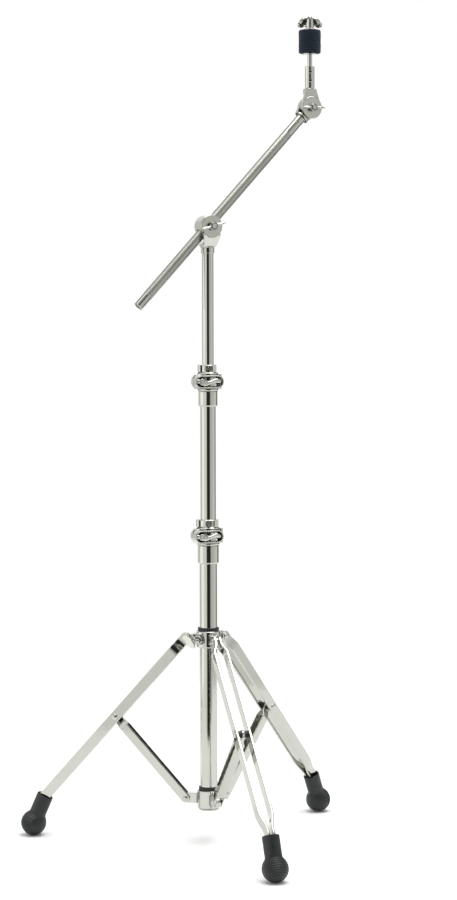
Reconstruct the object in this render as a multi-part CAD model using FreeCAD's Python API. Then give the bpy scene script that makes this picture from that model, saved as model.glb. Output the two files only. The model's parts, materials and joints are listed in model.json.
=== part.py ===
import FreeCAD, Part
import math
import os

# Cymbal boom stand with a folding double-braced tripod.
# The pole stands on the Z axis and the floor is Z = 0. The boom arm lies in the XZ plane and
# reaches towards +X. Every clamp bolt runs along Y, with its nut on the -Y side.

V = FreeCAD.Vector
X_AXIS = V(1, 0, 0)
Y_AXIS = V(0, 1, 0)
Z_AXIS = V(0, 0, 1)
ORIGIN = V(0, 0, 0)

# ---------------------------------------------------------------- driving dimensions (mm, degrees)
# Clearances, all on the radius or per side
RUN_FIT = 0.05          # a turning or sliding pair
SEAT_FIT = 0.02         # pieces that are pressed, screwed or riveted together
MOVE_GAP = 0.3          # faces of two moving pieces beside each other
LOOSE_GAP = 0.5         # fork and lug, slot and rivet

# Tubes, from the thinnest outwards
UPPER_TUBE_R = 9.525
UPPER_TUBE_WALL = 1.2
UPPER_TUBE_BOTTOM = 560.0
UPPER_TUBE_GAP = 1.975  # round the upper tube, inside the middle tube
MIDDLE_TUBE_WALL = 1.2
MIDDLE_TUBE_R = UPPER_TUBE_R + UPPER_TUBE_GAP + MIDDLE_TUBE_WALL
MIDDLE_TUBE_BOTTOM = 310.0
MIDDLE_TUBE_GAP = 0.4   # round the middle tube, inside the base tube
BASE_TUBE_WALL = 1.2
BASE_TUBE_R = MIDDLE_TUBE_R + MIDDLE_TUBE_GAP + BASE_TUBE_WALL
BASE_TUBE_TAIL = 1.5    # base tube past the bottom of the lower hub

# Tripod linkage: leg pivot A on the upper hub, brace pivot B on the lower hub, joint C between
LEG_AZIMUTHS = (25.5, 145.5, 265.5)
LEG_ANGLE = 41.5        # leg from the vertical, fully open
LINK_LENGTH = 175.0     # A to C, and C to B
PIVOT_RADIUS = 37.5     # A and B from the pole's axis
LEG_PIVOT_HEIGHT = 333.0

# Leg bars
BAR_THICKNESS = 4.0
BAR_WIDTH = 17.0
BAR_EDGE_ROUND = 0.9
BAR_BRACE_GAP = 1.25    # between a straight bar and the brace that folds in beside it
JOG_TOP_START = 9.0     # distances down the leg from A
JOG_TOP_END = 26.0
JOG_FOOT_START = 316.0
JOG_FOOT_END = 348.0
KNEE_DISTANCE = 357.0
FOOT_ANGLE = 23.5       # foot sleeve from the vertical
STUB_LENGTH = 26.0
RIVET_R = 3.0
RIVET_HEAD_R = 5.0
RIVET_HEAD_HEIGHT = 2.2
SPACER_R = 5.6

# Braces
BRACE_WIDTH = 15.0
BRACE_DEPTH = 15.0
BRACE_WALL = 2.0
BRACE_TONGUE = 4.4
BRACE_FLARE_START = 9.0
BRACE_FLARE_END = 22.0
BRACE_FORK = 21.0       # open fork length at the hub end
BRACE_RIVET_R = 2.9

# Feet
BALL_R = 21.0
SLEEVE_R = 13.7
SLEEVE_MOUTH = 2.0      # sleeve mouth above the leg's knee

# Lower hub; each wall is measured from the base tube
LOWER_HUB_WALL = 4.7
LOWER_HUB_BELOW = 14.37 # collar's bottom below the brace pivot
LOWER_HUB_HEIGHT = 28.5
LOWER_LIP_WALL = 2.7
LOWER_LIP_HEIGHT = 3.0
LOWER_LUG_HALF = 8.0
LOWER_RING_WALL = 1.9
LOWER_RING_HEIGHT = 6.0

# Upper hub
UPPER_HUB_WALL = 5.7
UPPER_HUB_BELOW = 14.0  # collar below and above the leg pivot
UPPER_HUB_ABOVE = 13.0
UPPER_HUB_ROUND = 2.0
TONGUE_THICKNESS = 4.0
TONGUE_HALF = 6.5
UPPER_LUG_THICKNESS = 12.0
UPPER_LUG_REACH = 26.5
UPPER_LUG_RISE = 1.0    # lug root past the tongue, above and below
UPPER_LUG_ROUND = 1.5
UPPER_RING_WALL = 3.0
UPPER_RING_HEIGHT = 5.0
WING_SCREW_AZIMUTH = 205.5
WING_SCREW_R = 3.0
WING_BOSS_R = 7.0
WING_BOSS_REACH = 27.0
WING_SHOULDER_GAP = 3.0
WING_COLLAR_R = 6.0
WING_COLLAR_LENGTH = 10.0
WING_STEM_R = 5.0
WING_STEM_LENGTH = 7.0
WING_BLADE = 3.0        # thickness of the wings
WING_ROOT_HALF = 6.5
WING_SPAN_HUB = 14.0
WING_SCREW_ROLL = 38.0
WING_TIP_SHARE = 0.62   # wing height at the tip over the height at the root

# Tube clamps
CLAMP_SLEEVE_WALL = 2.9
CLAMP_CHAMFER = 1.5
CLAMP_MOUTH = 2.0       # chamfer height at the sleeve's bottom
BUSH_OVER_TUBE = 0.7    # bush outside radius over the radius of the tube that it stands on
CLAMP_RING_WALL = 3.6
CLAMP_SLIT = 2.4
BUSH_SLIT = 1.4
CLAMP_EAR_HALF = 8.0
CLAMP_EAR_RISE = 12.0
CLAMP_BOLT_R = 3.0
CLAMP_BOLT_INSET = 5.9  # bolt axis outside the bush
CLAMP_BARREL_R = 3.8
CLAMP_BARREL_SINK = 0.6 # barrel sunk into the ring
CLAMP_BARREL_WEB = 2.6
CLAMP_EAR_R = 14.4      # round of the ears, seen from the side
CLAMP_SEAT_DEPTH = 1.0  # shoulder that the bush stands on, above the clamp's ring bottom
BASE_CLAMP_BOTTOM = 455.0
BASE_CLAMP_RING = 485.0
BASE_CLAMP_TOP = 515.0
MIDDLE_CLAMP_BOTTOM = 709.0
MIDDLE_CLAMP_RING = 734.0
MIDDLE_CLAMP_TOP = 764.5
LEVER_LENGTH = 33.0
LEVER_THICKNESS = 3.8
LEVER_ROOT_HALF = 5.6
LEVER_TIP_R = 3.4
LEVER_TAIL = 7.0        # short tail on the other side of the bolt
LEVER_TAIL_R = 3.2
LEVER_HUB_R = 7.0
LEVER_HUB_STEP = 4.0    # straight part of the nut's hub, before it tapers
CLAMP_HEAD_HALF = 4.5   # square bolt head
CLAMP_HEAD_HEIGHT = 4.0
BOLT_TIP_INSET = 0.6    # bolt end behind the lever's front face
LEVER_GAP = 2.6         # lever in front of the clamp ring

# Height stop rings
STOP_WALL = 4.0
STOP_HEIGHT = 11.6
STOP_CHAMFER = 1.0
STOP_EAR_R = 5.2
STOP_EAR_REACH = 8.0    # ears past the tube
STOP_SLIT = 1.8
STOP_BOSS_R = 5.0
STOP_BOSS_REACH = 5.6   # key bolt boss past the tube
STOP_TAB_WIDTH = 8.4
STOP_TAB_REACH = 5.4
STOP_KEY_AZIMUTH = -111.5
STOP_TAB_AZIMUTH = -66.0
STOP_KEY_R = 2.4
STOP_KEY_HEAD = 5.2     # square key head
STOP_KEY_HEAD_HEIGHT = 1.6

# Boom holder
BOOM_PIVOT_HEIGHT = 998.0
BOOM_RISE = 46.7        # boom arm above the horizontal
BOOM_RISE_LIMIT = 51.0  # steepest boom that the post leaves room for
BOOM_R = 8.0
BOOM_WALL = 1.2
KNURL_RISE = 0.2        # knurling above the smooth ends
BOOM_SMOOTH_LENGTH = 24.0
BOOM_PLUG = 3.0         # closed tail's thickness
BOOM_TAIL = 177.0       # boom end below the holder, along the boom
BOOM_HEAD = 232.5       # boom end above the holder, along the boom
BOOM_BUSH_WALL = 0.85
BOOM_BUSH_HALF = 16.0
EYE_WALL = 2.25
EYE_HALF_WIDTH = 4.0
EYE_SHANK_R = 3.95
EYE_SHANK_LENGTH = 9.4  # past the cheek
DRUM_WALL = 6.8         # drum round the eye
DRUM_FRONT_WALL = 1.6
DRUM_BACK_WALL = 1.2
DRUM_ROUND = 1.2
CHEEK_THICKNESS = 5.2
CHEEK_GAP = 0.6
POST_COLLAR_WALL = 1.475
POST_COLLAR_DROP = 43.0 # below the boom pivot: collar's bottom, collar's top, tube's end
POST_NECK_DROP = 32.0
UPPER_TUBE_DROP = 35.0
POST_NECK_ROOT = 2.0    # neck sunk into the collar
POST_CHEEK_DROP = 14.0  # cheek at its full depth down to here
POST_THROAT = 1.5       # under the drum
POST_THROAT_FRONT = 2.0 # where the neck's back meets the throat, in front of the axis
POST_FLANK_INSET = 1.5
POST_SHOULDER_DROP = 7.3
POST_FLARE = 22.0       # round foot of the neck, as wide as it is high
BOOM_ROOM_GAP = 0.7

# Wing nuts of the holder and the tilter
WING_NUT_HUB = 5.5      # straight part of the hub
WING_NUT_CROWN = 3.5    # tapered part
WING_NUT_FRONT = 9.0    # the wings' front and back faces from the nut's seat
WING_NUT_BACK = 2.2
HOLDER_NUT_R = 7.0
HOLDER_CROWN_R = 5.0
HOLDER_WING_ROOT = 3.1
HOLDER_WING_HALF = 21.0
HOLDER_WING_TURN = -16.5

# Cymbal tilter
TILTER_REACH = 35.4     # tilter axis beyond the boom tube's end
TILTER_R = 17.8
TILTER_HALF_DEPTH = 9.0
TILTER_GAP = 0.3        # each disc from the plane between them
TILTER_BOLT_R = 3.5
TILTER_BOLT_PAST = 9.4  # past the front disc
TILTER_HEAD_R = 6.2
TILTER_HEAD_HEIGHT = 3.4
TILTER_HEAD_ROUND = 1.2
TILTER_FLANGE_R = 12.0
TILTER_FLANGE_HEIGHT = 2.6
TILTER_DISC_ROOM = 2.6  # disc to flange
TILTER_NECK_ROOM = 1.1  # disc to the other half's neck
TILTER_NECK_BOTTOM = 4.0
TILTER_NECK_TOP = 31.0
TILTER_NECK_RISE = 9.0  # slope of the neck's underside
TILTER_NECK_WIDTH = 0.985
FERRULE_INSET = 0.1     # ferrule below the boom tube's knurling
PLUG_LENGTH = 16.0
SOCKET_BOTTOM = 30.0    # above the tilter axis
SOCKET_TOP = 67.0
SOCKET_WALL = 3.9
TILTER_NUT_R = 6.4
TILTER_CROWN_R = 4.6
TILTER_WING_ROOT = 3.0
TILTER_WING_HALF = 20.0
SET_SCREW_R = 2.0
SET_SCREW_INSET = 0.6
SET_SCREW_KEY_R = 0.9
SET_SCREW_KEY_DEPTH = 2.0
SET_SCREW_HEIGHTS = (44.0, 58.0)
SET_SCREW_AZIMUTH = -110.0

# Cymbal rod and what it carries, heights above the tilter axis
ROD_R = 4.0
ROD_TOP_R = 3.0
ROD_BOTTOM = 33.0
ROD_SHOULDER = 86.5
ROD_TOP = 143.0
SEAT_WASHER_R = 12.0
SEAT_WASHER_HEIGHT = 1.5
FELT_R = 18.0
FELT_HEIGHT = 18.9
FELT_ROUND = 2.0
ROD_SLEEVE_R = 5.5
TOP_WASHER_R = 10.5
TOP_WASHER_HEIGHT = 1.8
TOP_NUT_HEIGHT = 20.0
TOP_NUT_TURN = -20.0
TOP_NUT_CROWN = 2.5     # solid metal over the rod's end
TOP_WING_THICKNESS = 4.6
TOP_NUT_HUB = ((0, 0), (6.6, 0), (7.4, 9), (5.4, 18.8), (3.2, 20), (0, 20))
TOP_NUT_WING = ((0, 6), (10, 4), (15.5, 1.4), (19.3, 2.4), (20.5, 6.5), (17, 12), (12.5, 17), (6, 19.6),
                (0, 20))
THROUGH = 40.0          # cutting tools reach this far, past any piece they cut

# ---------------------------------------------------------------- worked out from the above
LEG_DROP = LINK_LENGTH * math.cos(math.radians(LEG_ANGLE))
LEG_SPREAD = LINK_LENGTH * math.sin(math.radians(LEG_ANGLE))
BRACE_PIVOT_HEIGHT = LEG_PIVOT_HEIGHT - 2 * LEG_DROP
LOWER_HUB_R = BASE_TUBE_R + LOWER_HUB_WALL
LOWER_LIP_R = BASE_TUBE_R + LOWER_LIP_WALL
LOWER_RING_R = BASE_TUBE_R + LOWER_RING_WALL
LOWER_HUB_BOTTOM = BRACE_PIVOT_HEIGHT - LOWER_HUB_BELOW
LOWER_HUB_TOP = LOWER_HUB_BOTTOM + LOWER_HUB_HEIGHT
BASE_TUBE_BOTTOM = LOWER_HUB_BOTTOM - LOWER_LIP_HEIGHT - BASE_TUBE_TAIL
BASE_TUBE_TOP = BASE_CLAMP_RING + CLAMP_SEAT_DEPTH
MIDDLE_TUBE_TOP = MIDDLE_CLAMP_RING + CLAMP_SEAT_DEPTH
UPPER_HUB_R = BASE_TUBE_R + UPPER_HUB_WALL
UPPER_RING_R = BASE_TUBE_R + UPPER_RING_WALL
UPPER_HUB_BOTTOM = LEG_PIVOT_HEIGHT - UPPER_HUB_BELOW
UPPER_HUB_TOP = LEG_PIVOT_HEIGHT + UPPER_HUB_ABOVE
TONGUE_INSIDE = TONGUE_THICKNESS / 2 + MOVE_GAP     # inner face of a bar beside the hub tongue
BAR_INSIDE = BRACE_WIDTH / 2 + BAR_BRACE_GAP        # inner face of a bar along its straight stretch
LOWER_LUG_THICKNESS = BRACE_WIDTH - 2 * BRACE_WALL - 2 * LOOSE_GAP
BOOM_DIRECTION = V(math.cos(math.radians(BOOM_RISE)), 0, math.sin(math.radians(BOOM_RISE)))
BOOM_PIVOT = V(0, 0, BOOM_PIVOT_HEIGHT)
BOOM_BUSH_R = BOOM_R + RUN_FIT + BOOM_BUSH_WALL
BOOM_SMOOTH_R = BOOM_R - KNURL_RISE
EYE_R = BOOM_BUSH_R + RUN_FIT + EYE_WALL
DRUM_R = EYE_R + DRUM_WALL
DRUM_FRONT = -(EYE_R + DRUM_FRONT_WALL)
DRUM_BACK = EYE_R + DRUM_BACK_WALL
POST_COLLAR_R = UPPER_TUBE_R + POST_COLLAR_WALL
UPPER_TUBE_TOP = BOOM_PIVOT_HEIGHT - UPPER_TUBE_DROP
FERRULE_R = BOOM_R - FERRULE_INSET
SOCKET_R = ROD_R + SOCKET_WALL
CHEEK_BACK = DRUM_FRONT - CHEEK_GAP
CHEEK_FRONT = CHEEK_BACK - CHEEK_THICKNESS
TILTER_CENTRE = BOOM_PIVOT + BOOM_DIRECTION * (BOOM_HEAD + TILTER_REACH)
KNEE_HEIGHT = LEG_PIVOT_HEIGHT - KNEE_DISTANCE * math.cos(math.radians(LEG_ANGLE))
BALL_DISTANCE = (KNEE_HEIGHT - BALL_R) / math.cos(math.radians(FOOT_ANGLE))


# ---------------------------------------------------------------- shape helpers
def cylinder(radius, start, end):
    """Solid cylinder from one point to another."""
    return Part.makeCylinder(radius, (end - start).Length, start, end - start)


def upright(radius, bottom, top, x=0.0, y=0.0):
    return cylinder(radius, V(x, y, bottom), V(x, y, top))


def crosswise(radius, front, back, x=0.0, z=0.0):
    """Cylinder along Y."""
    return cylinder(radius, V(x, front, z), V(x, back, z))


def pipe(outer, inner, bottom, top):
    return upright(outer, bottom, top).cut(upright(inner, bottom - 1, top + 1))


def box(x0, x1, y0, y1, z0, z1):
    return Part.makeBox(x1 - x0, y1 - y0, z1 - z0, V(x0, y0, z0))


def plate(points, y0, y1):
    """Outline in the XZ plane, extruded along Y."""
    corners = [V(x, y0, z) for x, z in points]
    return Part.Face(Part.makePolygon(corners + corners[:1])).extrude(V(0, y1 - y0, 0))


def side_plate(points, x0, x1):
    """Outline in the YZ plane, extruded along X."""
    corners = [V(x0, y, z) for y, z in points]
    return Part.Face(Part.makePolygon(corners + corners[:1])).extrude(V(x1 - x0, 0, 0))


def lathe(points, about=ORIGIN):
    """Outline of (radius, height) points turned about the vertical axis."""
    corners = [V(radius, 0, height) for radius, height in points]
    turned = Part.Face(Part.makePolygon(corners + corners[:1])).revolve(ORIGIN, Z_AXIS, 360)
    return turned.translated(about)


def fuse(*shapes):
    return shapes[0].fuse(list(shapes[1:])).removeSplitter()


def turned(shape, axis, degrees, about=ORIGIN):
    return shape.rotated(about, axis, degrees)


def along_radius(shape, azimuth):
    """A shape made along +X, swung round the pole."""
    return turned(shape, Z_AXIS, azimuth)


def rounded(shape, radius, keep):
    """Fillet the edges that the test picks."""
    return shape.makeFillet(radius, [edge for edge in shape.Edges if keep(edge)])


def long_edges(length):
    return lambda edge: edge.Length > length and edge.Curve.TypeId == "Part::GeomLine"


def write(name, shape):
    os.makedirs("parts", exist_ok=True)
    shape.exportStep("parts/" + name + ".step")
    print(name, len(shape.Solids), round(shape.Volume), shape.isValid())


# ---------------------------------------------------------------- tripod
def leg_place(shape, azimuth):
    """From the leg's own frame (X down the leg, Y across, origin at A) to its place."""
    tilted = turned(shape, Y_AXIS, 90 - LEG_ANGLE).translated(V(PIVOT_RADIUS, 0, LEG_PIVOT_HEIGHT))
    return along_radius(tilted, azimuth)


def brace_place(shape, azimuth):
    """From the brace's own frame (X from C to B, Y across, origin at C) to its place."""
    joint = V(PIVOT_RADIUS + LEG_SPREAD, 0, LEG_PIVOT_HEIGHT - LEG_DROP)
    return along_radius(turned(shape, Y_AXIS, 90 + LEG_ANGLE).translated(joint), azimuth)


def stub(y0, y1, clearance=0.0):
    """The leg's last stretch, turned from the leg's line to the foot's."""
    half = BAR_WIDTH / 2 + clearance
    straight = box(0, STUB_LENGTH + clearance, y0, y1, -half, half)
    knee = V(KNEE_DISTANCE, 0, 0)
    return turned(straight, Y_AXIS, LEG_ANGLE - FOOT_ANGLE).translated(knee)


def leg_bar(side):
    """One flat bar: bent in at both ends, with a knee into the foot."""
    near = TONGUE_INSIDE
    far = BAR_INSIDE
    inside = [(0, near), (JOG_TOP_START, near), (JOG_TOP_END, far),
              (JOG_FOOT_START, far), (JOG_FOOT_END, near), (KNEE_DISTANCE, near)]
    outside = [(x, y + BAR_THICKNESS) for x, y in reversed(inside)]
    half = BAR_WIDTH / 2
    corners = [V(x, y, -half) for x, y in inside + outside]
    bar = Part.Face(Part.makePolygon(corners + corners[:1])).extrude(V(0, 0, BAR_WIDTH))
    eye = crosswise(half, near, near + BAR_THICKNESS)
    knee = crosswise(half, near, near + BAR_THICKNESS, KNEE_DISTANCE)
    bar = fuse(bar, eye, knee, stub(near, near + BAR_THICKNESS))
    bar = rounded(bar, BAR_EDGE_ROUND, long_edges(JOG_FOOT_START - JOG_TOP_END - 1))
    bar = bar.cut(crosswise(RIVET_R + RUN_FIT, 0, BAR_INSIDE))
    bar = bar.cut(crosswise(RIVET_R + SEAT_FIT, 0, BAR_INSIDE + 2 * BAR_THICKNESS, LINK_LENGTH))
    return bar if side > 0 else bar.mirror(ORIGIN, Y_AXIS)


def foot():
    """Rubber ball on a sleeve, pocketed for the leg's two bar ends."""
    axis = FreeCAD.Rotation(Y_AXIS, LEG_ANGLE - FOOT_ANGLE).multVec(X_AXIS)
    knee = V(KNEE_DISTANCE, 0, 0)
    sleeve = cylinder(SLEEVE_R, knee - axis * SLEEVE_MOUTH, knee + axis * BALL_DISTANCE)
    ball = Part.makeSphere(BALL_R, knee + axis * BALL_DISTANCE)
    across = TONGUE_INSIDE + BAR_THICKNESS + SEAT_FIT
    half = BAR_WIDTH / 2 + SEAT_FIT
    mouth = box(KNEE_DISTANCE - 20, KNEE_DISTANCE, -across, across, -half, half)
    knee_room = crosswise(half, -across, across, KNEE_DISTANCE)
    return fuse(sleeve, ball).cut(stub(-across, across, SEAT_FIT)).cut(mouth).cut(knee_room)


def rivet(radius, reach, x=0.0):
    """Rivet along Y with a head past each side of what it holds."""
    head = RIVET_HEAD_R * radius / RIVET_R
    shaft = crosswise(radius, -reach - 0.5, reach + 0.5, x)
    front = crosswise(head, -reach - RIVET_HEAD_HEIGHT, -reach, x)
    back = crosswise(head, reach, reach + RIVET_HEAD_HEIGHT, x)
    return fuse(shaft, front, back)


def spacers():
    ring = crosswise(SPACER_R, BRACE_TONGUE / 2 + MOVE_GAP, BAR_INSIDE - SEAT_FIT, LINK_LENGTH)
    ring = ring.cut(crosswise(RIVET_R + SEAT_FIT, 0, BAR_INSIDE, LINK_LENGTH))
    return Part.makeCompound([ring, ring.mirror(ORIGIN, Y_AXIS)])


def brace():
    """Channel with its open side up, pinched flat at C and forked at B."""
    half_w = BRACE_WIDTH / 2
    half_d = BRACE_DEPTH / 2
    tongue = fuse(crosswise(half_d, -BRACE_TONGUE / 2, BRACE_TONGUE / 2),
                  box(0, BRACE_FLARE_START, -BRACE_TONGUE / 2, BRACE_TONGUE / 2, -half_d, half_d))
    flare_outline = [(BRACE_FLARE_START, -BRACE_TONGUE / 2), (BRACE_FLARE_END, -half_w),
                     (BRACE_FLARE_END, half_w), (BRACE_FLARE_START, BRACE_TONGUE / 2)]
    corners = [V(x, y, -half_d) for x, y in flare_outline]
    flare = Part.Face(Part.makePolygon(corners + corners[:1])).extrude(V(0, 0, BRACE_DEPTH))
    channel = box(BRACE_FLARE_END, LINK_LENGTH, -half_w, half_w, -half_d, half_d)
    eyes = crosswise(half_d, -half_w, half_w, LINK_LENGTH)
    inner = half_w - BRACE_WALL
    solid = fuse(tongue, flare, channel, eyes)
    hollow = box(BRACE_FLARE_END, LINK_LENGTH - BRACE_FORK, -inner, inner, -half_d - 1, half_d - BRACE_WALL)
    fork = box(LINK_LENGTH - BRACE_FORK, LINK_LENGTH + half_d + 1, -inner, inner, -half_d - 1, half_d + 1)
    solid = solid.cut(hollow).cut(fork)
    solid = solid.cut(crosswise(RIVET_R + RUN_FIT, -half_w, half_w))
    return solid.cut(crosswise(BRACE_RIVET_R + SEAT_FIT, -half_w - 1, half_w + 1, LINK_LENGTH))


def lower_hub():
    """Collar on the foot of the base tube; its lug slots open downward for the brace rivets."""
    bore = BASE_TUBE_R + SEAT_FIT
    body = fuse(upright(LOWER_HUB_R, LOWER_HUB_BOTTOM, LOWER_HUB_TOP),
                upright(LOWER_LIP_R, LOWER_HUB_BOTTOM - LOWER_LIP_HEIGHT, LOWER_HUB_BOTTOM))
    lug_half = LOWER_LUG_THICKNESS / 2
    lug = fuse(box(BASE_TUBE_R, PIVOT_RADIUS, -lug_half, lug_half,
                   BRACE_PIVOT_HEIGHT - LOWER_LUG_HALF, BRACE_PIVOT_HEIGHT + LOWER_LUG_HALF),
               crosswise(LOWER_LUG_HALF, -lug_half, lug_half, PIVOT_RADIUS, BRACE_PIVOT_HEIGHT))
    slot_half = BRACE_RIVET_R + LOOSE_GAP
    slot = fuse(crosswise(slot_half, -lug_half - 1, lug_half + 1, PIVOT_RADIUS, BRACE_PIVOT_HEIGHT),
                box(PIVOT_RADIUS - slot_half, PIVOT_RADIUS + slot_half, -lug_half - 1, lug_half + 1,
                    LOWER_HUB_BOTTOM, BRACE_PIVOT_HEIGHT))
    for azimuth in LEG_AZIMUTHS:
        body = body.fuse(along_radius(lug, azimuth))
    for azimuth in LEG_AZIMUTHS:
        body = body.cut(along_radius(slot, azimuth))
    return body.cut(upright(bore, 0, LOWER_HUB_TOP + 1)).removeSplitter()


def upper_hub():
    """Sliding collar with a thin tongue for each leg and a boss for the wing screw."""
    body = upright(UPPER_HUB_R, UPPER_HUB_BOTTOM, UPPER_HUB_TOP)
    body = rounded(body, UPPER_HUB_ROUND, lambda edge: True)
    t = TONGUE_THICKNESS / 2
    tongue = fuse(box(BASE_TUBE_R, PIVOT_RADIUS, -t, t,
                      LEG_PIVOT_HEIGHT - TONGUE_HALF, LEG_PIVOT_HEIGHT + TONGUE_HALF),
                  crosswise(TONGUE_HALF, -t, t, PIVOT_RADIUS, LEG_PIVOT_HEIGHT))
    wide = UPPER_LUG_THICKNESS / 2
    rise = TONGUE_HALF + UPPER_LUG_RISE
    root = box(BASE_TUBE_R, UPPER_LUG_REACH, -wide, wide, LEG_PIVOT_HEIGHT - rise, LEG_PIVOT_HEIGHT + rise)
    root = rounded(root, UPPER_LUG_ROUND, lambda edge: edge.CenterOfMass.x > UPPER_LUG_REACH - 0.01)
    lug = fuse(tongue, root).cut(crosswise(RIVET_R + SEAT_FIT, -wide, wide, PIVOT_RADIUS, LEG_PIVOT_HEIGHT))
    for azimuth in LEG_AZIMUTHS:
        body = body.fuse(along_radius(lug, azimuth))
    boss = cylinder(WING_BOSS_R, V(BASE_TUBE_R, 0, LEG_PIVOT_HEIGHT), V(WING_BOSS_REACH, 0, LEG_PIVOT_HEIGHT))
    hole = cylinder(WING_SCREW_R + RUN_FIT, V(BASE_TUBE_R - 1, 0, LEG_PIVOT_HEIGHT),
                    V(WING_BOSS_REACH + 1, 0, LEG_PIVOT_HEIGHT))
    body = fuse(body, along_radius(boss, WING_SCREW_AZIMUTH))
    body = body.cut(upright(BASE_TUBE_R + RUN_FIT, UPPER_HUB_BOTTOM - 1, UPPER_HUB_TOP + 1))
    return body.cut(along_radius(hole, WING_SCREW_AZIMUTH)).removeSplitter()


def wings_about_y(half_span, root, front, back):
    """Two flat wings in the XZ plane about a Y axis, wide at the root and round at the tips."""
    tip = root * WING_TIP_SHARE
    arm = fuse(plate([(0, -root), (half_span - tip, -tip), (half_span - tip, tip), (0, root)], front, back),
               crosswise(tip, front, back, half_span - tip))
    return fuse(arm, arm.mirror(ORIGIN, X_AXIS))


def hub_wing_screw():
    """Wing screw, made along Y and then laid along the radius."""
    seat = WING_BOSS_REACH + WING_SHOULDER_GAP
    neck = seat + WING_COLLAR_LENGTH
    shank = crosswise(WING_SCREW_R, -seat - 1, -BASE_TUBE_R - MOVE_GAP)
    collar = crosswise(WING_COLLAR_R, -neck, -seat)
    stem = crosswise(WING_STEM_R, -neck - WING_STEM_LENGTH, -neck)
    blade = neck + WING_STEM_LENGTH
    wings = wings_about_y(WING_SPAN_HUB, WING_ROOT_HALF, -blade - WING_BLADE, -blade + 0.4)
    screw = turned(fuse(shank, collar, stem, wings), Y_AXIS, WING_SCREW_ROLL)
    lifted = screw.translated(V(0, 0, LEG_PIVOT_HEIGHT))
    return turned(lifted, Z_AXIS, WING_SCREW_AZIMUTH + 90)


def tripod():
    write("base_tube", pipe(BASE_TUBE_R, BASE_TUBE_R - BASE_TUBE_WALL, BASE_TUBE_BOTTOM, BASE_TUBE_TOP))
    write("lower_hub", lower_hub())
    write("lower_ring", pipe(LOWER_RING_R, BASE_TUBE_R + SEAT_FIT, LOWER_HUB_TOP,
                             LOWER_HUB_TOP + LOWER_RING_HEIGHT))
    write("upper_hub", upper_hub())
    write("upper_ring", pipe(UPPER_RING_R, BASE_TUBE_R + RUN_FIT, UPPER_HUB_TOP,
                             UPPER_HUB_TOP + UPPER_RING_HEIGHT))
    write("hub_wing_screw", hub_wing_screw())
    top_rivet = rivet(RIVET_R, TONGUE_INSIDE + BAR_THICKNESS + MOVE_GAP)
    write("leg_top_rivets", Part.makeCompound([leg_place(top_rivet, a) for a in LEG_AZIMUTHS]))
    for number, azimuth in enumerate(LEG_AZIMUTHS, 1):
        leg = "leg_%d_" % number
        write(leg + "left_bar", leg_place(leg_bar(1), azimuth))
        write(leg + "right_bar", leg_place(leg_bar(-1), azimuth))
        write(leg + "rivet", leg_place(rivet(RIVET_R, BAR_INSIDE + BAR_THICKNESS + SEAT_FIT, LINK_LENGTH),
                                       azimuth))
        write(leg + "spacers", leg_place(spacers(), azimuth))
        write("foot_%d" % number, leg_place(foot(), azimuth))
        write("brace_%d" % number, brace_place(brace(), azimuth))
        write("brace_%d_rivet" % number,
              brace_place(rivet(BRACE_RIVET_R, BRACE_WIDTH / 2 + SEAT_FIT, LINK_LENGTH), azimuth))


# ---------------------------------------------------------------- tube clamps
def clamp(tube_r, bottom, ring_bottom, top):
    """Cast clamp: a sleeve on its tube and a slit ring above, with bolt ears at -X."""
    bush_r = tube_r + BUSH_OVER_TUBE
    middle = (ring_bottom + top) / 2
    bolt_x = -(bush_r + CLAMP_BOLT_INSET)
    ring_r = bush_r + CLAMP_RING_WALL
    sleeve_r = tube_r + CLAMP_SLEEVE_WALL
    edge = CLAMP_CHAMFER
    sleeve = lathe([(0, bottom), (sleeve_r - edge, bottom), (sleeve_r, bottom + CLAMP_MOUTH),
                    (sleeve_r, ring_bottom), (ring_r - edge, ring_bottom), (ring_r, ring_bottom + edge),
                    (ring_r, top - edge), (ring_r - edge, top), (0, top)])
    ear_x = bolt_x + CLAMP_EAR_R - LEVER_HUB_R
    ears = crosswise(CLAMP_EAR_R, -CLAMP_EAR_HALF, CLAMP_EAR_HALF, ear_x, middle)
    ears = ears.common(box(ear_x - CLAMP_EAR_R, ear_x, -CLAMP_EAR_HALF, CLAMP_EAR_HALF,
                           middle - CLAMP_EAR_RISE, middle + CLAMP_EAR_RISE))
    web = box(ear_x, 0, -CLAMP_EAR_HALF, CLAMP_EAR_HALF, middle - CLAMP_EAR_RISE, middle + CLAMP_EAR_RISE)
    barrel_x = ring_r + CLAMP_BARREL_R - CLAMP_BARREL_SINK
    barrel = upright(CLAMP_BARREL_R, middle - CLAMP_EAR_RISE, middle + CLAMP_EAR_RISE, barrel_x)
    barrel_web = box(0, barrel_x, -CLAMP_BARREL_WEB, CLAMP_BARREL_WEB,
                     middle - CLAMP_EAR_RISE + CLAMP_MOUTH, middle + CLAMP_EAR_RISE - CLAMP_MOUTH)
    body = fuse(sleeve, ears, web, barrel, barrel_web)
    nut_seat = crosswise(LEVER_HUB_R + LOOSE_GAP, -2 * ring_r, -CLAMP_EAR_HALF, bolt_x, middle)
    head_room = CLAMP_HEAD_HALF + LOOSE_GAP
    head_seat = box(bolt_x - head_room, bolt_x + head_room, CLAMP_EAR_HALF, 2 * ring_r,
                    middle - head_room, middle + head_room)
    slit_half = CLAMP_SLIT / 2
    body = body.cut(upright(tube_r + SEAT_FIT, bottom - 1, ring_bottom + CLAMP_SEAT_DEPTH))
    body = body.cut(upright(bush_r + RUN_FIT, ring_bottom + CLAMP_SEAT_DEPTH, top + 1))
    body = body.cut(box(-2 * ring_r, 0, -slit_half, slit_half, ring_bottom + CLAMP_SEAT_DEPTH, top + 1))
    body = body.cut(crosswise(CLAMP_BOLT_R + SEAT_FIT, -ring_r, ring_r, bolt_x, middle))
    return body.cut(nut_seat).cut(head_seat).removeSplitter()


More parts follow.
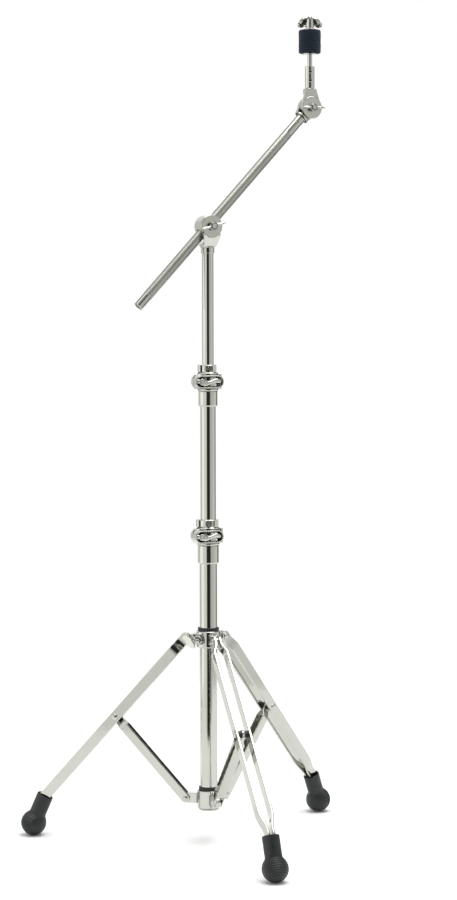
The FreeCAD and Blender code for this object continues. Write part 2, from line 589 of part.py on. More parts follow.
def clamp_bush(tube_r, sliding_r, ring_bottom, top):
    """Split nylon bush that the sliding tube runs in."""
    outer = tube_r + BUSH_OVER_TUBE
    bush = pipe(outer, sliding_r + RUN_FIT, ring_bottom + CLAMP_SEAT_DEPTH + MOVE_GAP, top - MOVE_GAP)
    slit_half = BUSH_SLIT / 2
    return bush.cut(box(-2 * outer, 0, -slit_half, slit_half, ring_bottom, top + 1))


def clamp_bolt_place(tube_r, ring_bottom, top):
    return V(-(tube_r + BUSH_OVER_TUBE + CLAMP_BOLT_INSET), 0, (ring_bottom + top) / 2)


def lever_front(tube_r):
    """Back face of the lever, in front of the clamp ring."""
    return -(tube_r + BUSH_OVER_TUBE + CLAMP_RING_WALL + LEVER_GAP)


def clamp_bolt(tube_r, ring_bottom, top):
    back = CLAMP_EAR_HALF + SEAT_FIT
    tip = lever_front(tube_r) - LEVER_THICKNESS + BOLT_TIP_INSET
    shank = crosswise(CLAMP_BOLT_R, tip, back)
    half = CLAMP_HEAD_HALF
    head = box(-half, half, back, back + CLAMP_HEAD_HEIGHT, -half, half)
    head = rounded(head, 1.0, lambda edge: edge.CenterOfMass.y > back + 0.1)
    return fuse(shank, head).translated(clamp_bolt_place(tube_r, ring_bottom, top))


def lever_nut(tube_r, ring_bottom, top):
    """Nut with one long lever that lies across the clamp and one short tail."""
    behind = lever_front(tube_r)
    in_front = behind - LEVER_THICKNESS
    start = -CLAMP_EAR_HALF - MOVE_GAP
    step = start - LEVER_HUB_STEP
    root = LEVER_ROOT_HALF
    hub = crosswise(LEVER_HUB_R, step, start)
    cone = Part.makeCone(LEVER_HUB_R, root, step - in_front, V(0, step, 0), V(0, -1, 0))
    reach = LEVER_LENGTH - LEVER_TIP_R
    outline = [(0, -root), (reach, -LEVER_TIP_R), (reach, LEVER_TIP_R), (0, root)]
    lever = fuse(plate(outline, in_front, behind),
                 crosswise(LEVER_TIP_R, in_front, behind, reach))
    tail = fuse(plate([(0, -root), (-LEVER_TAIL, -LEVER_TAIL_R), (-LEVER_TAIL, LEVER_TAIL_R), (0, root)],
                      in_front, behind),
                crosswise(LEVER_TAIL_R, in_front, behind, -LEVER_TAIL))
    nut = fuse(hub, cone, lever, tail).cut(crosswise(CLAMP_BOLT_R + RUN_FIT, 2 * in_front, 0))
    return nut.translated(clamp_bolt_place(tube_r, ring_bottom, top))


def stop_ring(tube_r, bottom):
    """Height stop ring on a sliding tube: slit ears at -X, a boss for its key bolt, a tab."""
    top = bottom + STOP_HEIGHT
    ring_r = tube_r + STOP_WALL
    middle = (bottom + top) / 2
    body = lathe([(0, bottom), (ring_r, bottom), (ring_r, top - STOP_CHAMFER),
                  (ring_r - STOP_CHAMFER, top), (0, top)])
    ear_x = -(tube_r + STOP_EAR_REACH - STOP_EAR_R)
    ears = fuse(upright(STOP_EAR_R, bottom, top, ear_x), box(ear_x, 0, -STOP_EAR_R, STOP_EAR_R, bottom, top))
    boss = cylinder(STOP_BOSS_R, V(tube_r, 0, middle), V(tube_r + STOP_BOSS_REACH, 0, middle))
    tab_half = STOP_TAB_WIDTH / 2
    tab = box(tube_r, tube_r + STOP_TAB_REACH, -tab_half, tab_half, bottom, top)
    body = fuse(body, ears, along_radius(boss, STOP_KEY_AZIMUTH), along_radius(tab, STOP_TAB_AZIMUTH))
    hole = cylinder(STOP_KEY_R + SEAT_FIT, V(0, 0, middle), V(2 * ring_r, 0, middle))
    body = body.cut(upright(tube_r + SEAT_FIT, bottom - 1, top + 1)).cut(along_radius(hole, STOP_KEY_AZIMUTH))
    slit_half = STOP_SLIT / 2
    return body.cut(box(-2 * ring_r, 0, -slit_half, slit_half, bottom - 1, top + 1)).removeSplitter()


def stop_key(tube_r, bottom):
    middle = bottom + STOP_HEIGHT / 2
    seat = tube_r + STOP_BOSS_REACH + SEAT_FIT
    half = STOP_KEY_HEAD / 2
    shank = cylinder(STOP_KEY_R, V(tube_r + 2 * SEAT_FIT, 0, middle), V(seat + 0.5, 0, middle))
    head = box(seat, seat + STOP_KEY_HEAD_HEIGHT, -half, half, middle - half, middle + half)
    return along_radius(fuse(shank, head), STOP_KEY_AZIMUTH)


def column():
    base = (BASE_TUBE_R, BASE_CLAMP_RING, BASE_CLAMP_TOP)
    middle = (MIDDLE_TUBE_R, MIDDLE_CLAMP_RING, MIDDLE_CLAMP_TOP)
    write("base_clamp", clamp(BASE_TUBE_R, BASE_CLAMP_BOTTOM, BASE_CLAMP_RING, BASE_CLAMP_TOP))
    write("base_clamp_bolt", clamp_bolt(*base))
    write("base_clamp_nut", lever_nut(*base))
    write("base_clamp_bush", clamp_bush(BASE_TUBE_R, MIDDLE_TUBE_R, BASE_CLAMP_RING, BASE_CLAMP_TOP))
    write("middle_tube", pipe(MIDDLE_TUBE_R, MIDDLE_TUBE_R - MIDDLE_TUBE_WALL, MIDDLE_TUBE_BOTTOM,
                              MIDDLE_TUBE_TOP))
    write("middle_stop_ring", stop_ring(MIDDLE_TUBE_R, BASE_CLAMP_TOP + MOVE_GAP))
    write("middle_stop_key", stop_key(MIDDLE_TUBE_R, BASE_CLAMP_TOP + MOVE_GAP))
    write("middle_clamp", clamp(MIDDLE_TUBE_R, MIDDLE_CLAMP_BOTTOM, MIDDLE_CLAMP_RING, MIDDLE_CLAMP_TOP))
    write("middle_clamp_bolt", clamp_bolt(*middle))
    write("middle_clamp_nut", lever_nut(*middle))
    write("middle_clamp_bush", clamp_bush(MIDDLE_TUBE_R, UPPER_TUBE_R, MIDDLE_CLAMP_RING, MIDDLE_CLAMP_TOP))
    write("upper_tube", pipe(UPPER_TUBE_R, UPPER_TUBE_R - UPPER_TUBE_WALL, UPPER_TUBE_BOTTOM, UPPER_TUBE_TOP))
    write("upper_stop_ring", stop_ring(UPPER_TUBE_R, MIDDLE_CLAMP_TOP + MOVE_GAP))
    write("upper_stop_key", stop_key(UPPER_TUBE_R, MIDDLE_CLAMP_TOP + MOVE_GAP))


# ---------------------------------------------------------------- boom holder
def on_boom(shape):
    """From the boom's own frame (Z along the boom, origin at the holder's pivot) to its place."""
    return turned(shape, Y_AXIS, 90 - BOOM_RISE).translated(BOOM_PIVOT)


def boom_room():
    """The space that the boom sweeps on the -X side at its steepest."""
    space = box(0, 5 * THROUGH, DRUM_FRONT, THROUGH, -4 * THROUGH, BOOM_R + BOOM_ROOM_GAP)
    return turned(space, Y_AXIS, 180 - BOOM_RISE_LIMIT).translated(BOOM_PIVOT)


def holder_post():
    """Collar on the upper tube that leans forward into a flat cheek beside the drum."""
    pivot = BOOM_PIVOT_HEIGHT
    low = pivot - POST_COLLAR_DROP
    mid = pivot - POST_NECK_DROP
    root = mid - POST_NECK_ROOT
    r = POST_COLLAR_R
    throat = pivot - DRUM_R - POST_THROAT
    flank = DRUM_R - POST_FLANK_INSET
    shoulder = pivot - POST_SHOULDER_DROP
    side_view = [(CHEEK_FRONT, pivot), (CHEEK_FRONT, pivot - POST_CHEEK_DROP), (-r, mid), (-r, root),
                 (r, root), (r, mid), (-POST_THROAT_FRONT, throat), (CHEEK_BACK, throat + LOOSE_GAP),
                 (CHEEK_BACK, pivot)]
    front_view = [(-r, root), (r, root), (r, mid), (flank, shoulder), (flank, pivot), (-flank, pivot),
                  (-flank, shoulder), (-r, mid)]
    neck = side_plate(side_view, -THROUGH, THROUGH).common(plate(front_view, -THROUGH, THROUGH))
    round_foot = Part.makeCone(r, r + POST_FLARE, POST_FLARE, V(0, 0, root), Z_AXIS)
    neck = neck.common(round_foot)
    cheek = crosswise(DRUM_R, CHEEK_FRONT, CHEEK_BACK, 0, pivot)
    room = boom_room()
    post = fuse(upright(r, low, mid), neck).cut(room).cut(room.mirror(BOOM_PIVOT, X_AXIS))
    post = post.cut(crosswise(DRUM_R + LOOSE_GAP, CHEEK_BACK, THROUGH, 0, pivot))
    post = fuse(post, cheek)
    post = post.cut(upright(UPPER_TUBE_R + SEAT_FIT, low - 1, UPPER_TUBE_TOP + SEAT_FIT))
    return post.cut(crosswise(EYE_SHANK_R + RUN_FIT, -THROUGH, 0, 0, pivot)).removeSplitter()


def boom_drum():
    """Drum that tilts against the cheek; the boom passes through it and the eye bolt drops in."""
    pivot = BOOM_PIVOT_HEIGHT
    drum = crosswise(DRUM_R, DRUM_FRONT, DRUM_BACK, 0, pivot)
    drum = rounded(drum, DRUM_ROUND, lambda edge: edge.CenterOfMass.y > DRUM_BACK - 0.1)
    bore = on_boom(upright(BOOM_BUSH_R + RUN_FIT, -THROUGH, THROUGH))
    half = EYE_HALF_WIDTH + SEAT_FIT
    room = EYE_R + SEAT_FIT
    groove = on_boom(fuse(upright(room, -half, half), box(-room, room, 0, THROUGH, -half, half)))
    shank = crosswise(EYE_SHANK_R + SEAT_FIT, -THROUGH, 0, 0, pivot)
    return drum.cut(bore).cut(groove).cut(shank)


def eye_bolt():
    ring = on_boom(upright(EYE_R, -EYE_HALF_WIDTH, EYE_HALF_WIDTH))
    shank = crosswise(EYE_SHANK_R, CHEEK_FRONT - EYE_SHANK_LENGTH, -BOOM_BUSH_R, 0, BOOM_PIVOT_HEIGHT)
    return fuse(ring, shank).cut(on_boom(upright(BOOM_BUSH_R + RUN_FIT, -THROUGH, THROUGH)))


def boom_bush():
    bush = pipe(BOOM_BUSH_R, BOOM_R + RUN_FIT, -BOOM_BUSH_HALF, BOOM_BUSH_HALF)
    slit_half = BUSH_SLIT / 2
    return on_boom(bush.cut(box(0, THROUGH, -slit_half, slit_half, -THROUGH, THROUGH)))


def wing_nut(hub_r, crown_r, wing_root, wing_half, bolt_r, start):
    """Nut along Y from its seat, with two wings at its front."""
    step = start - WING_NUT_HUB
    hub = crosswise(hub_r, step, start)
    crown = Part.makeCone(hub_r, crown_r, WING_NUT_CROWN, V(0, step, 0), V(0, -1, 0))
    wings = wings_about_y(wing_half, wing_root, start - WING_NUT_FRONT, start - WING_NUT_BACK)
    return fuse(hub, crown, wings).cut(crosswise(bolt_r + RUN_FIT, -2 * THROUGH, 0))


def holder_wing_nut():
    nut = wing_nut(HOLDER_NUT_R, HOLDER_CROWN_R, HOLDER_WING_ROOT, HOLDER_WING_HALF, EYE_SHANK_R,
                   CHEEK_FRONT - MOVE_GAP)
    return turned(nut, Y_AXIS, HOLDER_WING_TURN).translated(BOOM_PIVOT)


def boom_tube():
    """Knurled tube with a smooth stretch at each end and a closed tail."""
    smooth_tail = -BOOM_TAIL + BOOM_SMOOTH_LENGTH
    smooth_head = BOOM_HEAD - BOOM_SMOOTH_LENGTH
    tube = fuse(upright(BOOM_SMOOTH_R, -BOOM_TAIL, smooth_tail), upright(BOOM_R, smooth_tail, smooth_head),
                upright(BOOM_SMOOTH_R, smooth_head, BOOM_HEAD))
    return on_boom(tube.cut(upright(BOOM_R - BOOM_WALL, -BOOM_TAIL + BOOM_PLUG, BOOM_HEAD + 1)))


# ---------------------------------------------------------------- cymbal tilter
def tilter_half():
    """Disc behind the mid plane with a neck that runs up into a round; made upright about the axis."""
    disc = crosswise(TILTER_R, TILTER_GAP, TILTER_HALF_DEPTH)
    clear = TILTER_R + TILTER_NECK_ROOM
    low = TILTER_NECK_BOTTOM
    top = TILTER_NECK_TOP
    side = [(TILTER_GAP, low), (TILTER_HALF_DEPTH, low), (FERRULE_R, top), (-FERRULE_R, top),
            (-FERRULE_R, clear + TILTER_NECK_RISE), (TILTER_GAP, clear)]
    flank = TILTER_R * TILTER_NECK_WIDTH - low * (TILTER_R - FERRULE_R) / top
    front = [(-flank, low), (flank, low), (FERRULE_R, top), (-FERRULE_R, top)]
    return disc, side_plate(side, -THROUGH, THROUGH).common(plate(front, -THROUGH, THROUGH))


def tilter_base():
    """Lower half: flange, ferrule and a plug in the boom tube's head."""
    disc, neck = tilter_half()
    clear = TILTER_R + TILTER_DISC_ROOM
    neck = neck.common(box(-THROUGH, THROUGH, -THROUGH, THROUGH, 0, clear + 1))
    flange = upright(TILTER_FLANGE_R, clear, clear + TILTER_FLANGE_HEIGHT)
    ferrule = upright(FERRULE_R, clear, TILTER_REACH - SEAT_FIT)
    plug = upright(BOOM_R - BOOM_WALL - SEAT_FIT, TILTER_REACH - 1, TILTER_REACH + PLUG_LENGTH)
    body = fuse(disc, neck, flange, ferrule, plug).cut(crosswise(TILTER_BOLT_R + SEAT_FIT, -THROUGH, THROUGH))
    return turned(body, Y_AXIS, 180 + 90 - BOOM_RISE).translated(TILTER_CENTRE)


def tilter_head():
    """Upper half: mirrored to the front, with the rod socket on its neck."""
    disc, neck = tilter_half()
    body = fuse(disc, neck, upright(SOCKET_R, SOCKET_BOTTOM, SOCKET_TOP))
    body = body.mirror(ORIGIN, Y_AXIS)
    body = body.cut(crosswise(TILTER_BOLT_R + RUN_FIT, -THROUGH, THROUGH))
    body = body.cut(upright(ROD_R + SEAT_FIT, ROD_BOTTOM - SEAT_FIT, SOCKET_TOP + 1))
    for height in SET_SCREW_HEIGHTS:
        hole = cylinder(SET_SCREW_R + SEAT_FIT, V(0, 0, height), V(THROUGH, 0, height))
        body = body.cut(along_radius(hole, SET_SCREW_AZIMUTH))
    return body.translated(TILTER_CENTRE)


def rod_set_screws():
    screws = []
    for height in SET_SCREW_HEIGHTS:
        tip = V(ROD_R + 2 * SEAT_FIT, 0, height)
        key_end = V(SOCKET_R - SET_SCREW_KEY_DEPTH, 0, height)
        screw = cylinder(SET_SCREW_R, tip, V(SOCKET_R - SET_SCREW_INSET, 0, height))
        socket = cylinder(SET_SCREW_KEY_R, key_end, V(SOCKET_R, 0, height))
        screws.append(along_radius(screw.cut(socket), SET_SCREW_AZIMUTH).translated(TILTER_CENTRE))
    return Part.makeCompound(screws)


def tilter_bolt():
    back = TILTER_HALF_DEPTH + SEAT_FIT
    shank = crosswise(TILTER_BOLT_R, -TILTER_HALF_DEPTH - TILTER_BOLT_PAST, back)
    head = crosswise(TILTER_HEAD_R, back, back + TILTER_HEAD_HEIGHT)
    head = rounded(head, TILTER_HEAD_ROUND, lambda edge: edge.CenterOfMass.y > back + 0.1)
    return fuse(shank, head).translated(TILTER_CENTRE)


def tilter_wing_nut():
    nut = wing_nut(TILTER_NUT_R, TILTER_CROWN_R, TILTER_WING_ROOT, TILTER_WING_HALF, TILTER_BOLT_R,
                   -TILTER_HALF_DEPTH - MOVE_GAP)
    return nut.translated(TILTER_CENTRE)


# ---------------------------------------------------------------- cymbal rod and its stack
def rod_ring(outer, inner, bottom, height):
    return pipe(outer, inner, bottom, bottom + height).translated(TILTER_CENTRE)


def felt(bottom):
    ring = pipe(FELT_R, ROD_SLEEVE_R + RUN_FIT, bottom, bottom + FELT_HEIGHT)
    ring = rounded(ring, FELT_ROUND, lambda edge: edge.Length > 2 * math.pi * (FELT_R - 1)
                   and edge.BoundBox.ZLength < 0.01)
    return ring.translated(TILTER_CENTRE)


def top_wing_nut(bottom):
    """Domed nut with two wings that droop past its skirt."""
    hub = lathe([(r, bottom + height) for r, height in TOP_NUT_HUB])
    half = TOP_WING_THICKNESS / 2
    wing_plate = plate([(x, bottom + height) for x, height in TOP_NUT_WING], -half, half)
    nut = fuse(hub, wing_plate, wing_plate.mirror(ORIGIN, X_AXIS))
    nut = nut.cut(upright(ROD_TOP_R + RUN_FIT, bottom - 1, bottom + TOP_NUT_HEIGHT - TOP_NUT_CROWN))
    return turned(nut, Z_AXIS, TOP_NUT_TURN).translated(TILTER_CENTRE)


def head():
    write("tilter_base", tilter_base())
    write("tilter_bolt", tilter_bolt())
    write("tilter_wing_nut", tilter_wing_nut())
    write("tilter_head", tilter_head())
    write("rod_set_screws", rod_set_screws())
    rod = fuse(upright(ROD_R, ROD_BOTTOM, ROD_SHOULDER), upright(ROD_TOP_R, ROD_SHOULDER, ROD_TOP))
    write("cymbal_rod", rod.translated(TILTER_CENTRE))
    washer_top = ROD_SHOULDER + SEAT_FIT + SEAT_WASHER_HEIGHT
    write("seat_washer", rod_ring(SEAT_WASHER_R, ROD_TOP_R + SEAT_FIT, ROD_SHOULDER + SEAT_FIT,
                                  SEAT_WASHER_HEIGHT))
    lower = washer_top + SEAT_FIT
    upper = lower + FELT_HEIGHT + SEAT_FIT
    stack_top = upper + FELT_HEIGHT + SEAT_FIT
    write("rod_sleeve", rod_ring(ROD_SLEEVE_R, ROD_TOP_R + SEAT_FIT, lower, stack_top - lower - SEAT_FIT))
    write("lower_felt", felt(lower))
    write("upper_felt", felt(upper))
    write("top_washer", rod_ring(TOP_WASHER_R, ROD_TOP_R + SEAT_FIT, stack_top, TOP_WASHER_HEIGHT))
    write("top_wing_nut", top_wing_nut(stack_top + TOP_WASHER_HEIGHT + MOVE_GAP))


def holder():
    write("holder_post", holder_post())
    write("boom_drum", boom_drum())
    write("boom_eye_bolt", eye_bolt())
    write("boom_bush", boom_bush())
    write("holder_wing_nut", holder_wing_nut())
    write("boom_tube", boom_tube())


tripod()
column()
holder()
head()
print("brace pivot height", round(BRACE_PIVOT_HEIGHT, 3), "tilter centre", TILTER_CENTRE)
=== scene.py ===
"""The finish of a cymbal boom stand: cast, drawn and knurled chrome, moulded rubber and pressed felt.

Lengths in the shape functions are millimetres, and mm() turns them into the frame's metres.
"""

import json
import math

import bmesh
import bpy
import numpy as np
from mathutils import Matrix, Vector


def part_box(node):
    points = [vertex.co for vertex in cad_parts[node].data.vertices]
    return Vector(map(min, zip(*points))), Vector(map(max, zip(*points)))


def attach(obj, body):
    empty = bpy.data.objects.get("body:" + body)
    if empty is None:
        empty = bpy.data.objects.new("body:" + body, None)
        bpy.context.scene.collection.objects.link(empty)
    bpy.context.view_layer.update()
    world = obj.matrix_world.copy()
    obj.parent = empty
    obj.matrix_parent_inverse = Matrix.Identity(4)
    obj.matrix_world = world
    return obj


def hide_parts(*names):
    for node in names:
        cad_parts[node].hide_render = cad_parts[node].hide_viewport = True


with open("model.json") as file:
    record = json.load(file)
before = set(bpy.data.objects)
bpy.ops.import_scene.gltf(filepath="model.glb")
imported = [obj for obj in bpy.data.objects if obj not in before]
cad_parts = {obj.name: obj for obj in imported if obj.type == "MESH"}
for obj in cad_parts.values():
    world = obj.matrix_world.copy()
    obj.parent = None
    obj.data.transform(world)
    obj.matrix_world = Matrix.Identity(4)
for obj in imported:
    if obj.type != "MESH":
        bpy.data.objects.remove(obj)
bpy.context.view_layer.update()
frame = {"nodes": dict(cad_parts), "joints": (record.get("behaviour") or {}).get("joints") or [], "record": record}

BODY = {node: body for body, nodes in frame["record"]["behaviour"]["bodies"].items() for node in nodes}
SLOT = {row["node"]: row["material_slot"] for row in frame["record"]["subparts"]}
JOINT = {joint["name"]: joint for joint in frame["joints"]}

# ---------------------------------------------------------------- the stand's own sizes (mm, degrees)
LEG_AZIMUTHS = (25.5, 145.5, 265.5)
LEG_ANGLE = 41.5
PIVOT_RADIUS = 37.5
LEG_PIVOT_HEIGHT = 333.0
LINK_LENGTH = 175.0
BRACE_PIVOT_HEIGHT = LEG_PIVOT_HEIGHT - 2 * LINK_LENGTH * math.cos(math.radians(LEG_ANGLE))
KNEE_DISTANCE = 357.0
FOOT_ANGLE = 23.5
BALL_R = 21.0
SLEEVE_R = 13.7
FOOT_FILLET = 1.6       # between sleeve and ball
RIB_PITCH = 3.5
RIB_DEPTH = 1.05
PARTING_DEPTH = 0.35
VENT_R = 1.5
VENT_DEPTH = 2.4
BAR_THICKNESS = 4.0
BAR_WIDTH = 17.0
BAR_NEAR = 2.3          # inner face beside the hub and in the foot
BAR_FAR = 8.75          # inner face along the straight stretch
UPPER_TUBE_R = 9.525
MIDDLE_TUBE_R = 12.7
STOP_WALL = 4.0
BOOM_RISE = 46.7
BOOM_R = 8.0
BOOM_SMOOTH_R = 7.8
BOOM_SMOOTH_LENGTH = 24.0
BOOM_TAIL = 177.0
BOOM_HEAD = 232.5
CLAMP_EAR_HALF = 8.0
CLAMP_BOLT_R = 3.0
CLAMP_OVAL_HALF = 14.5  # straight half of the oval wall round the lever
CLAMP_OVAL_R = 10.4
CLAMP_OVAL_WALL = 2.2
CLAMP_OVAL_BACK = -7.0
LEVER_SUNK = 0.9        # front of the oval wall behind the back of the lever
LEVER_THICKNESS = 3.8
LEVER_HUB_R = 7.0
LEVER_HUB_STEP = 4.0
TOP_NUT_TURN = -20.0
STOP_KEY_AZIMUTH = -111.5
STOP_BOSS_REACH = 5.6
WASHER_BORE_R = 3.02
FELT_R = 17.85
FELT_BORE_R = 5.6
KNURL_DEPTH = 0.11
KNURL_PITCH = 1.3
KNURL_DIAMONDS = 44
FACE_TOLERANCE = 0.35   # how far from a turned face a point may be and still carry its rings

VIEW_AZIMUTH = 65.0     # the camera looks this way, from +X towards +Y
VIEW_DOWN = 3.52
VIEW_ROLL = -0.1
CAMERA_PLACE = (-1.559, -3.4215, 0.870)
LENS = 93.4


def mm(value):
    return value * 0.001


def turn(axis, degrees):
    return Matrix.Rotation(math.radians(degrees), 4, axis)


def shift(x, y, z):
    return Matrix.Translation((x, y, z))


PIVOT = Vector(JOINT["boom_tilt"]["pos_m"]) * 1000
TILTER = Vector(JOINT["rod_tilt"]["pos_m"]) * 1000
BOOM_FRAME = shift(*PIVOT) @ turn("Y", 90 - BOOM_RISE)
TILTER_FRAME = shift(*TILTER)


def leg_frame(azimuth):
    """X down the leg, Y across it, origin at the leg's top pivot."""
    return turn("Z", azimuth) @ shift(PIVOT_RADIUS, 0, LEG_PIVOT_HEIGHT) @ turn("Y", 90 - LEG_ANGLE)


# ---------------------------------------------------------------- meshes
def placed_object(name, mesh):
    """An object in the scene that holds the mesh, at the origin."""
    obj = bpy.data.objects.new(name, mesh)
    bpy.context.scene.collection.objects.link(obj)
    return obj


def smooth_shaded(mesh):
    mesh.polygons.foreach_set("use_smooth", [True] * len(mesh.polygons))


def mesh_object(name, points, faces, place=Matrix.Identity(4)):
    """Object at the origin whose mesh holds the points, given in mm in the place's own frame."""
    mesh = bpy.data.meshes.new(name)
    mesh.from_pydata([mm(place @ Vector(p)) for p in points], [], faces)
    bm = bmesh.new()
    bm.from_mesh(mesh)
    bmesh.ops.remove_doubles(bm, verts=bm.verts, dist=mm(0.002))
    bmesh.ops.recalc_face_normals(bm, faces=bm.faces)
    bm.to_mesh(mesh)
    bm.free()
    smooth_shaded(mesh)
    return placed_object(name, mesh)


def circle_of(segments):
    """The angles of points evenly spaced round a circle."""
    return [2 * math.pi * k / segments for k in range(segments)]


def bands(rows, size, ring=False):
    """Faces between rows of points that each go once round; a ring's last row meets its first."""
    faces = []
    for i in range(rows if ring else rows - 1):
        upper = (i + 1) % rows
        for k in range(size):
            after = (k + 1) % size
            faces.append((i * size + k, i * size + after, upper * size + after, upper * size + k))
    return faces


def end_caps(rows, size):
    return [tuple(range(size)), tuple((rows - 1) * size + k for k in range(size))]


def fixed_mesh(obj):
    """Applies the modifiers, so that only a plain mesh is left."""
    graph = bpy.context.evaluated_depsgraph_get()
    mesh = bpy.data.meshes.new_from_object(obj.evaluated_get(graph))
    obj.modifiers.clear()
    obj.data = mesh
    return obj


def points_in_mm(obj):
    """The mesh's points as an array of rows."""
    points = np.empty(len(obj.data.vertices) * 3)
    obj.data.vertices.foreach_get("co", points)
    return points.reshape(-1, 3) * 1000


def joined(name, objects):
    """Several meshes as one object."""
    bm = bmesh.new()
    for obj in objects:
        bm.from_mesh(obj.data)
    mesh = bpy.data.meshes.new(name)
    bm.to_mesh(mesh)
    bm.free()
    smooth_shaded(mesh)
    for obj in objects:
        bpy.data.objects.remove(obj)
    return placed_object(name, mesh)


def softened(outline, radius, closed=False, steps=4):
    """A polyline with each inner corner rounded, and a support point just outside each arc."""
    points = [Vector(p) for p in outline]
    count = len(points)
    result = []
    for i, corner in enumerate(points):
        if not closed and i in (0, count - 1):
            result.append(corner)
            continue
        before = points[i - 1] - corner
        after = points[(i + 1) % count] - corner
        bend = before.angle(after)
        if bend > math.pi - 0.02:
            result.append(corner)
            continue
        reach = min(radius / math.tan(bend / 2), before.length * 0.45, after.length * 0.45)
        start = corner + before.normalized() * reach
        end = corner + after.normalized() * reach
        support = min(reach * 0.25, 0.3)
        result.append(start + before.normalized() * support)
        for k in range(steps + 1):
            t = k / steps
            result.append(start * (1 - t) ** 2 + corner * (2 * t * (1 - t)) + end * t ** 2)
        result.append(end + after.normalized() * support)
    return result


def lathe(name, profile, place=Matrix.Identity(4), segments=72, soften=0.5, ring=False):
    """Turns a (radius, height) outline about the place's Z axis; a ring's outline is a closed loop."""
    outline = softened(profile, soften, closed=ring)
    points = [(p.x * math.cos(angle), p.x * math.sin(angle), p.y)
              for p in outline for angle in circle_of(segments)]
    return mesh_object(name, points, bands(len(outline), segments, ring), place)


def loft(name, sections, place=Matrix.Identity(4)):
    """Skins a row of closed sections with the same number of points and caps both ends."""
    size = len(sections[0])
    points = [p for section in sections for p in section]
    return mesh_object(name, points, bands(len(sections), size) + end_caps(len(sections), size), place)


def egg(name, centre, radii, place=Matrix.Identity(4), rings=16, segments=28):
    """Closed ellipsoid."""
    profile = [(math.sin(math.pi * i / rings), -math.cos(math.pi * i / rings)) for i in range(rings + 1)]
    points = [(centre[0] + radii[0] * radius * math.cos(angle),
               centre[1] + radii[1] * radius * math.sin(angle),
               centre[2] + radii[2] * height) for radius, height in profile for angle in circle_of(segments)]
    return mesh_object(name, points, bands(rings + 1, segments), place)


def grown_together(obj, voxel, passes):
    """One skin over all of a mesh's shells, with the rounded edges and inner corners of a casting."""
    remesh = obj.modifiers.new("skin", "REMESH")
    remesh.mode = "VOXEL"
    remesh.voxel_size = mm(voxel)
    smooth = obj.modifiers.new("soft", "SMOOTH")
    smooth.factor = 0.5
    smooth.iterations = passes
    fixed_mesh(obj)
    smooth_shaded(obj.data)
    return obj


def mark_crease_shade(obj, depth=0.02, spread=5):
    """Marks the inner corners of a casting from 0 to 1, where its chrome gets painted shade."""
    mesh = obj.data
    count = len(mesh.vertices)
    points = points_in_mm(obj)
    normals = np.empty(count * 3)
    mesh.vertex_normals.foreach_get("vector", normals)
    normals = normals.reshape(-1, 3)
    ends = np.empty(len(mesh.edges) * 2, dtype=np.int32)
    mesh.edges.foreach_get("vertices", ends)
    ends = ends.reshape(-1, 2)
    links = np.bincount(ends.ravel(), minlength=count).clip(1)

    def around(values):
        total = np.bincount(ends[:, 0], values[ends[:, 1]], count)
        total += np.bincount(ends[:, 1], values[ends[:, 0]], count)
        return total / links

    middle = np.stack([around(points[:, axis]) for axis in range(3)], axis=1)
    hollow = ((middle - points) * normals).sum(axis=1)
    for _ in range(spread):
        hollow = (hollow + around(hollow)) / 2
    mark = mesh.attributes.new("crease_shade", "FLOAT", "POINT")
    mark.data.foreach_set("value", np.clip(hollow / depth, 0, 1).astype(np.float32))


def cad_copy(name, node):
    """A merged copy of a CAD node's mesh in an object of its own."""
    bm = bmesh.new()
    bm.from_mesh(frame["nodes"][node].data)
    bmesh.ops.remove_doubles(bm, verts=bm.verts, dist=mm(0.001))
    mesh = bpy.data.meshes.new(name)
    bm.to_mesh(mesh)
    bm.free()
    return placed_object(name, mesh)


def trued(obj, centre, axis, radii, reach=0.12):
    """Draws the skin that is close to a round about the axis onto it, so that it mirrors cleanly."""
    points = points_in_mm(obj)
    axis = np.array(axis) / np.linalg.norm(axis)
    from_centre = points - np.array(centre)
    along = from_centre @ axis
    outward = from_centre - np.outer(along, axis)
    distance = np.linalg.norm(outward, axis=1).clip(0.001)
    for radius in radii:
        error = distance - radius
        share = np.clip((reach - np.abs(error)) / (reach * 0.5), 0, 1)
        points -= outward * (error * share / distance)[:, None]
    obj.data.vertices.foreach_set("co", (points * 0.001).ravel())
    obj.data.update()


def cast(name, node, voxel=0.5, passes=4, rounds=()):
    """A CAD node as it leaves the mould and the plating bath: same shape, soft edges, true rounds."""
    obj = grown_together(cad_copy(name, node), voxel, passes)
    for centre, axis, radii in rounds:
        trued(obj, centre, axis, radii)
    mark_crease_shade(obj)
    return obj


def shown(obj, node, material):
    """The piece stands for a CAD node and moves with its body."""
    obj.data.materials.clear()
    obj.data.materials.append(material)
    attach(obj, BODY[node])
    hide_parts(node)
    return obj


# ---------------------------------------------------------------- shader groups
def node_group(name, inputs, outputs):
    """An empty shader group with float inputs, given as {name: default}, and its two end nodes."""
    group = bpy.data.node_groups.new(name, "ShaderNodeTree")
    group.interface.new_socket("Vector", in_out="INPUT", socket_type="NodeSocketVector")
    for label, default in inputs.items():
        socket = group.interface.new_socket(label, in_out="INPUT", socket_type="NodeSocketFloat")
        socket.default_value = default
    for label in outputs:
        group.interface.new_socket(label, in_out="OUTPUT", socket_type="NodeSocketFloat")
    return group, group.nodes.new("NodeGroupInput"), group.nodes.new("NodeGroupOutput")


def add(tree, kind, links=None, **values):
    """A node with its settings, and its inputs linked or set."""
    node = tree.nodes.new(kind)
    for label, value in values.items():
        setattr(node, label, value)
    for label, source in (links or {}).items():
        socket = node.inputs[label]
        if isinstance(source, bpy.types.NodeSocket):
            tree.links.new(source, socket)
        else:
            socket.default_value = source
    return node


def noise(tree, vector, scale, detail=3.0, roughness=0.55):
    return add(tree, "ShaderNodeTexNoise",
               {"Vector": vector, "Scale": scale, "Detail": detail, "Roughness": roughness}).outputs["Fac"]


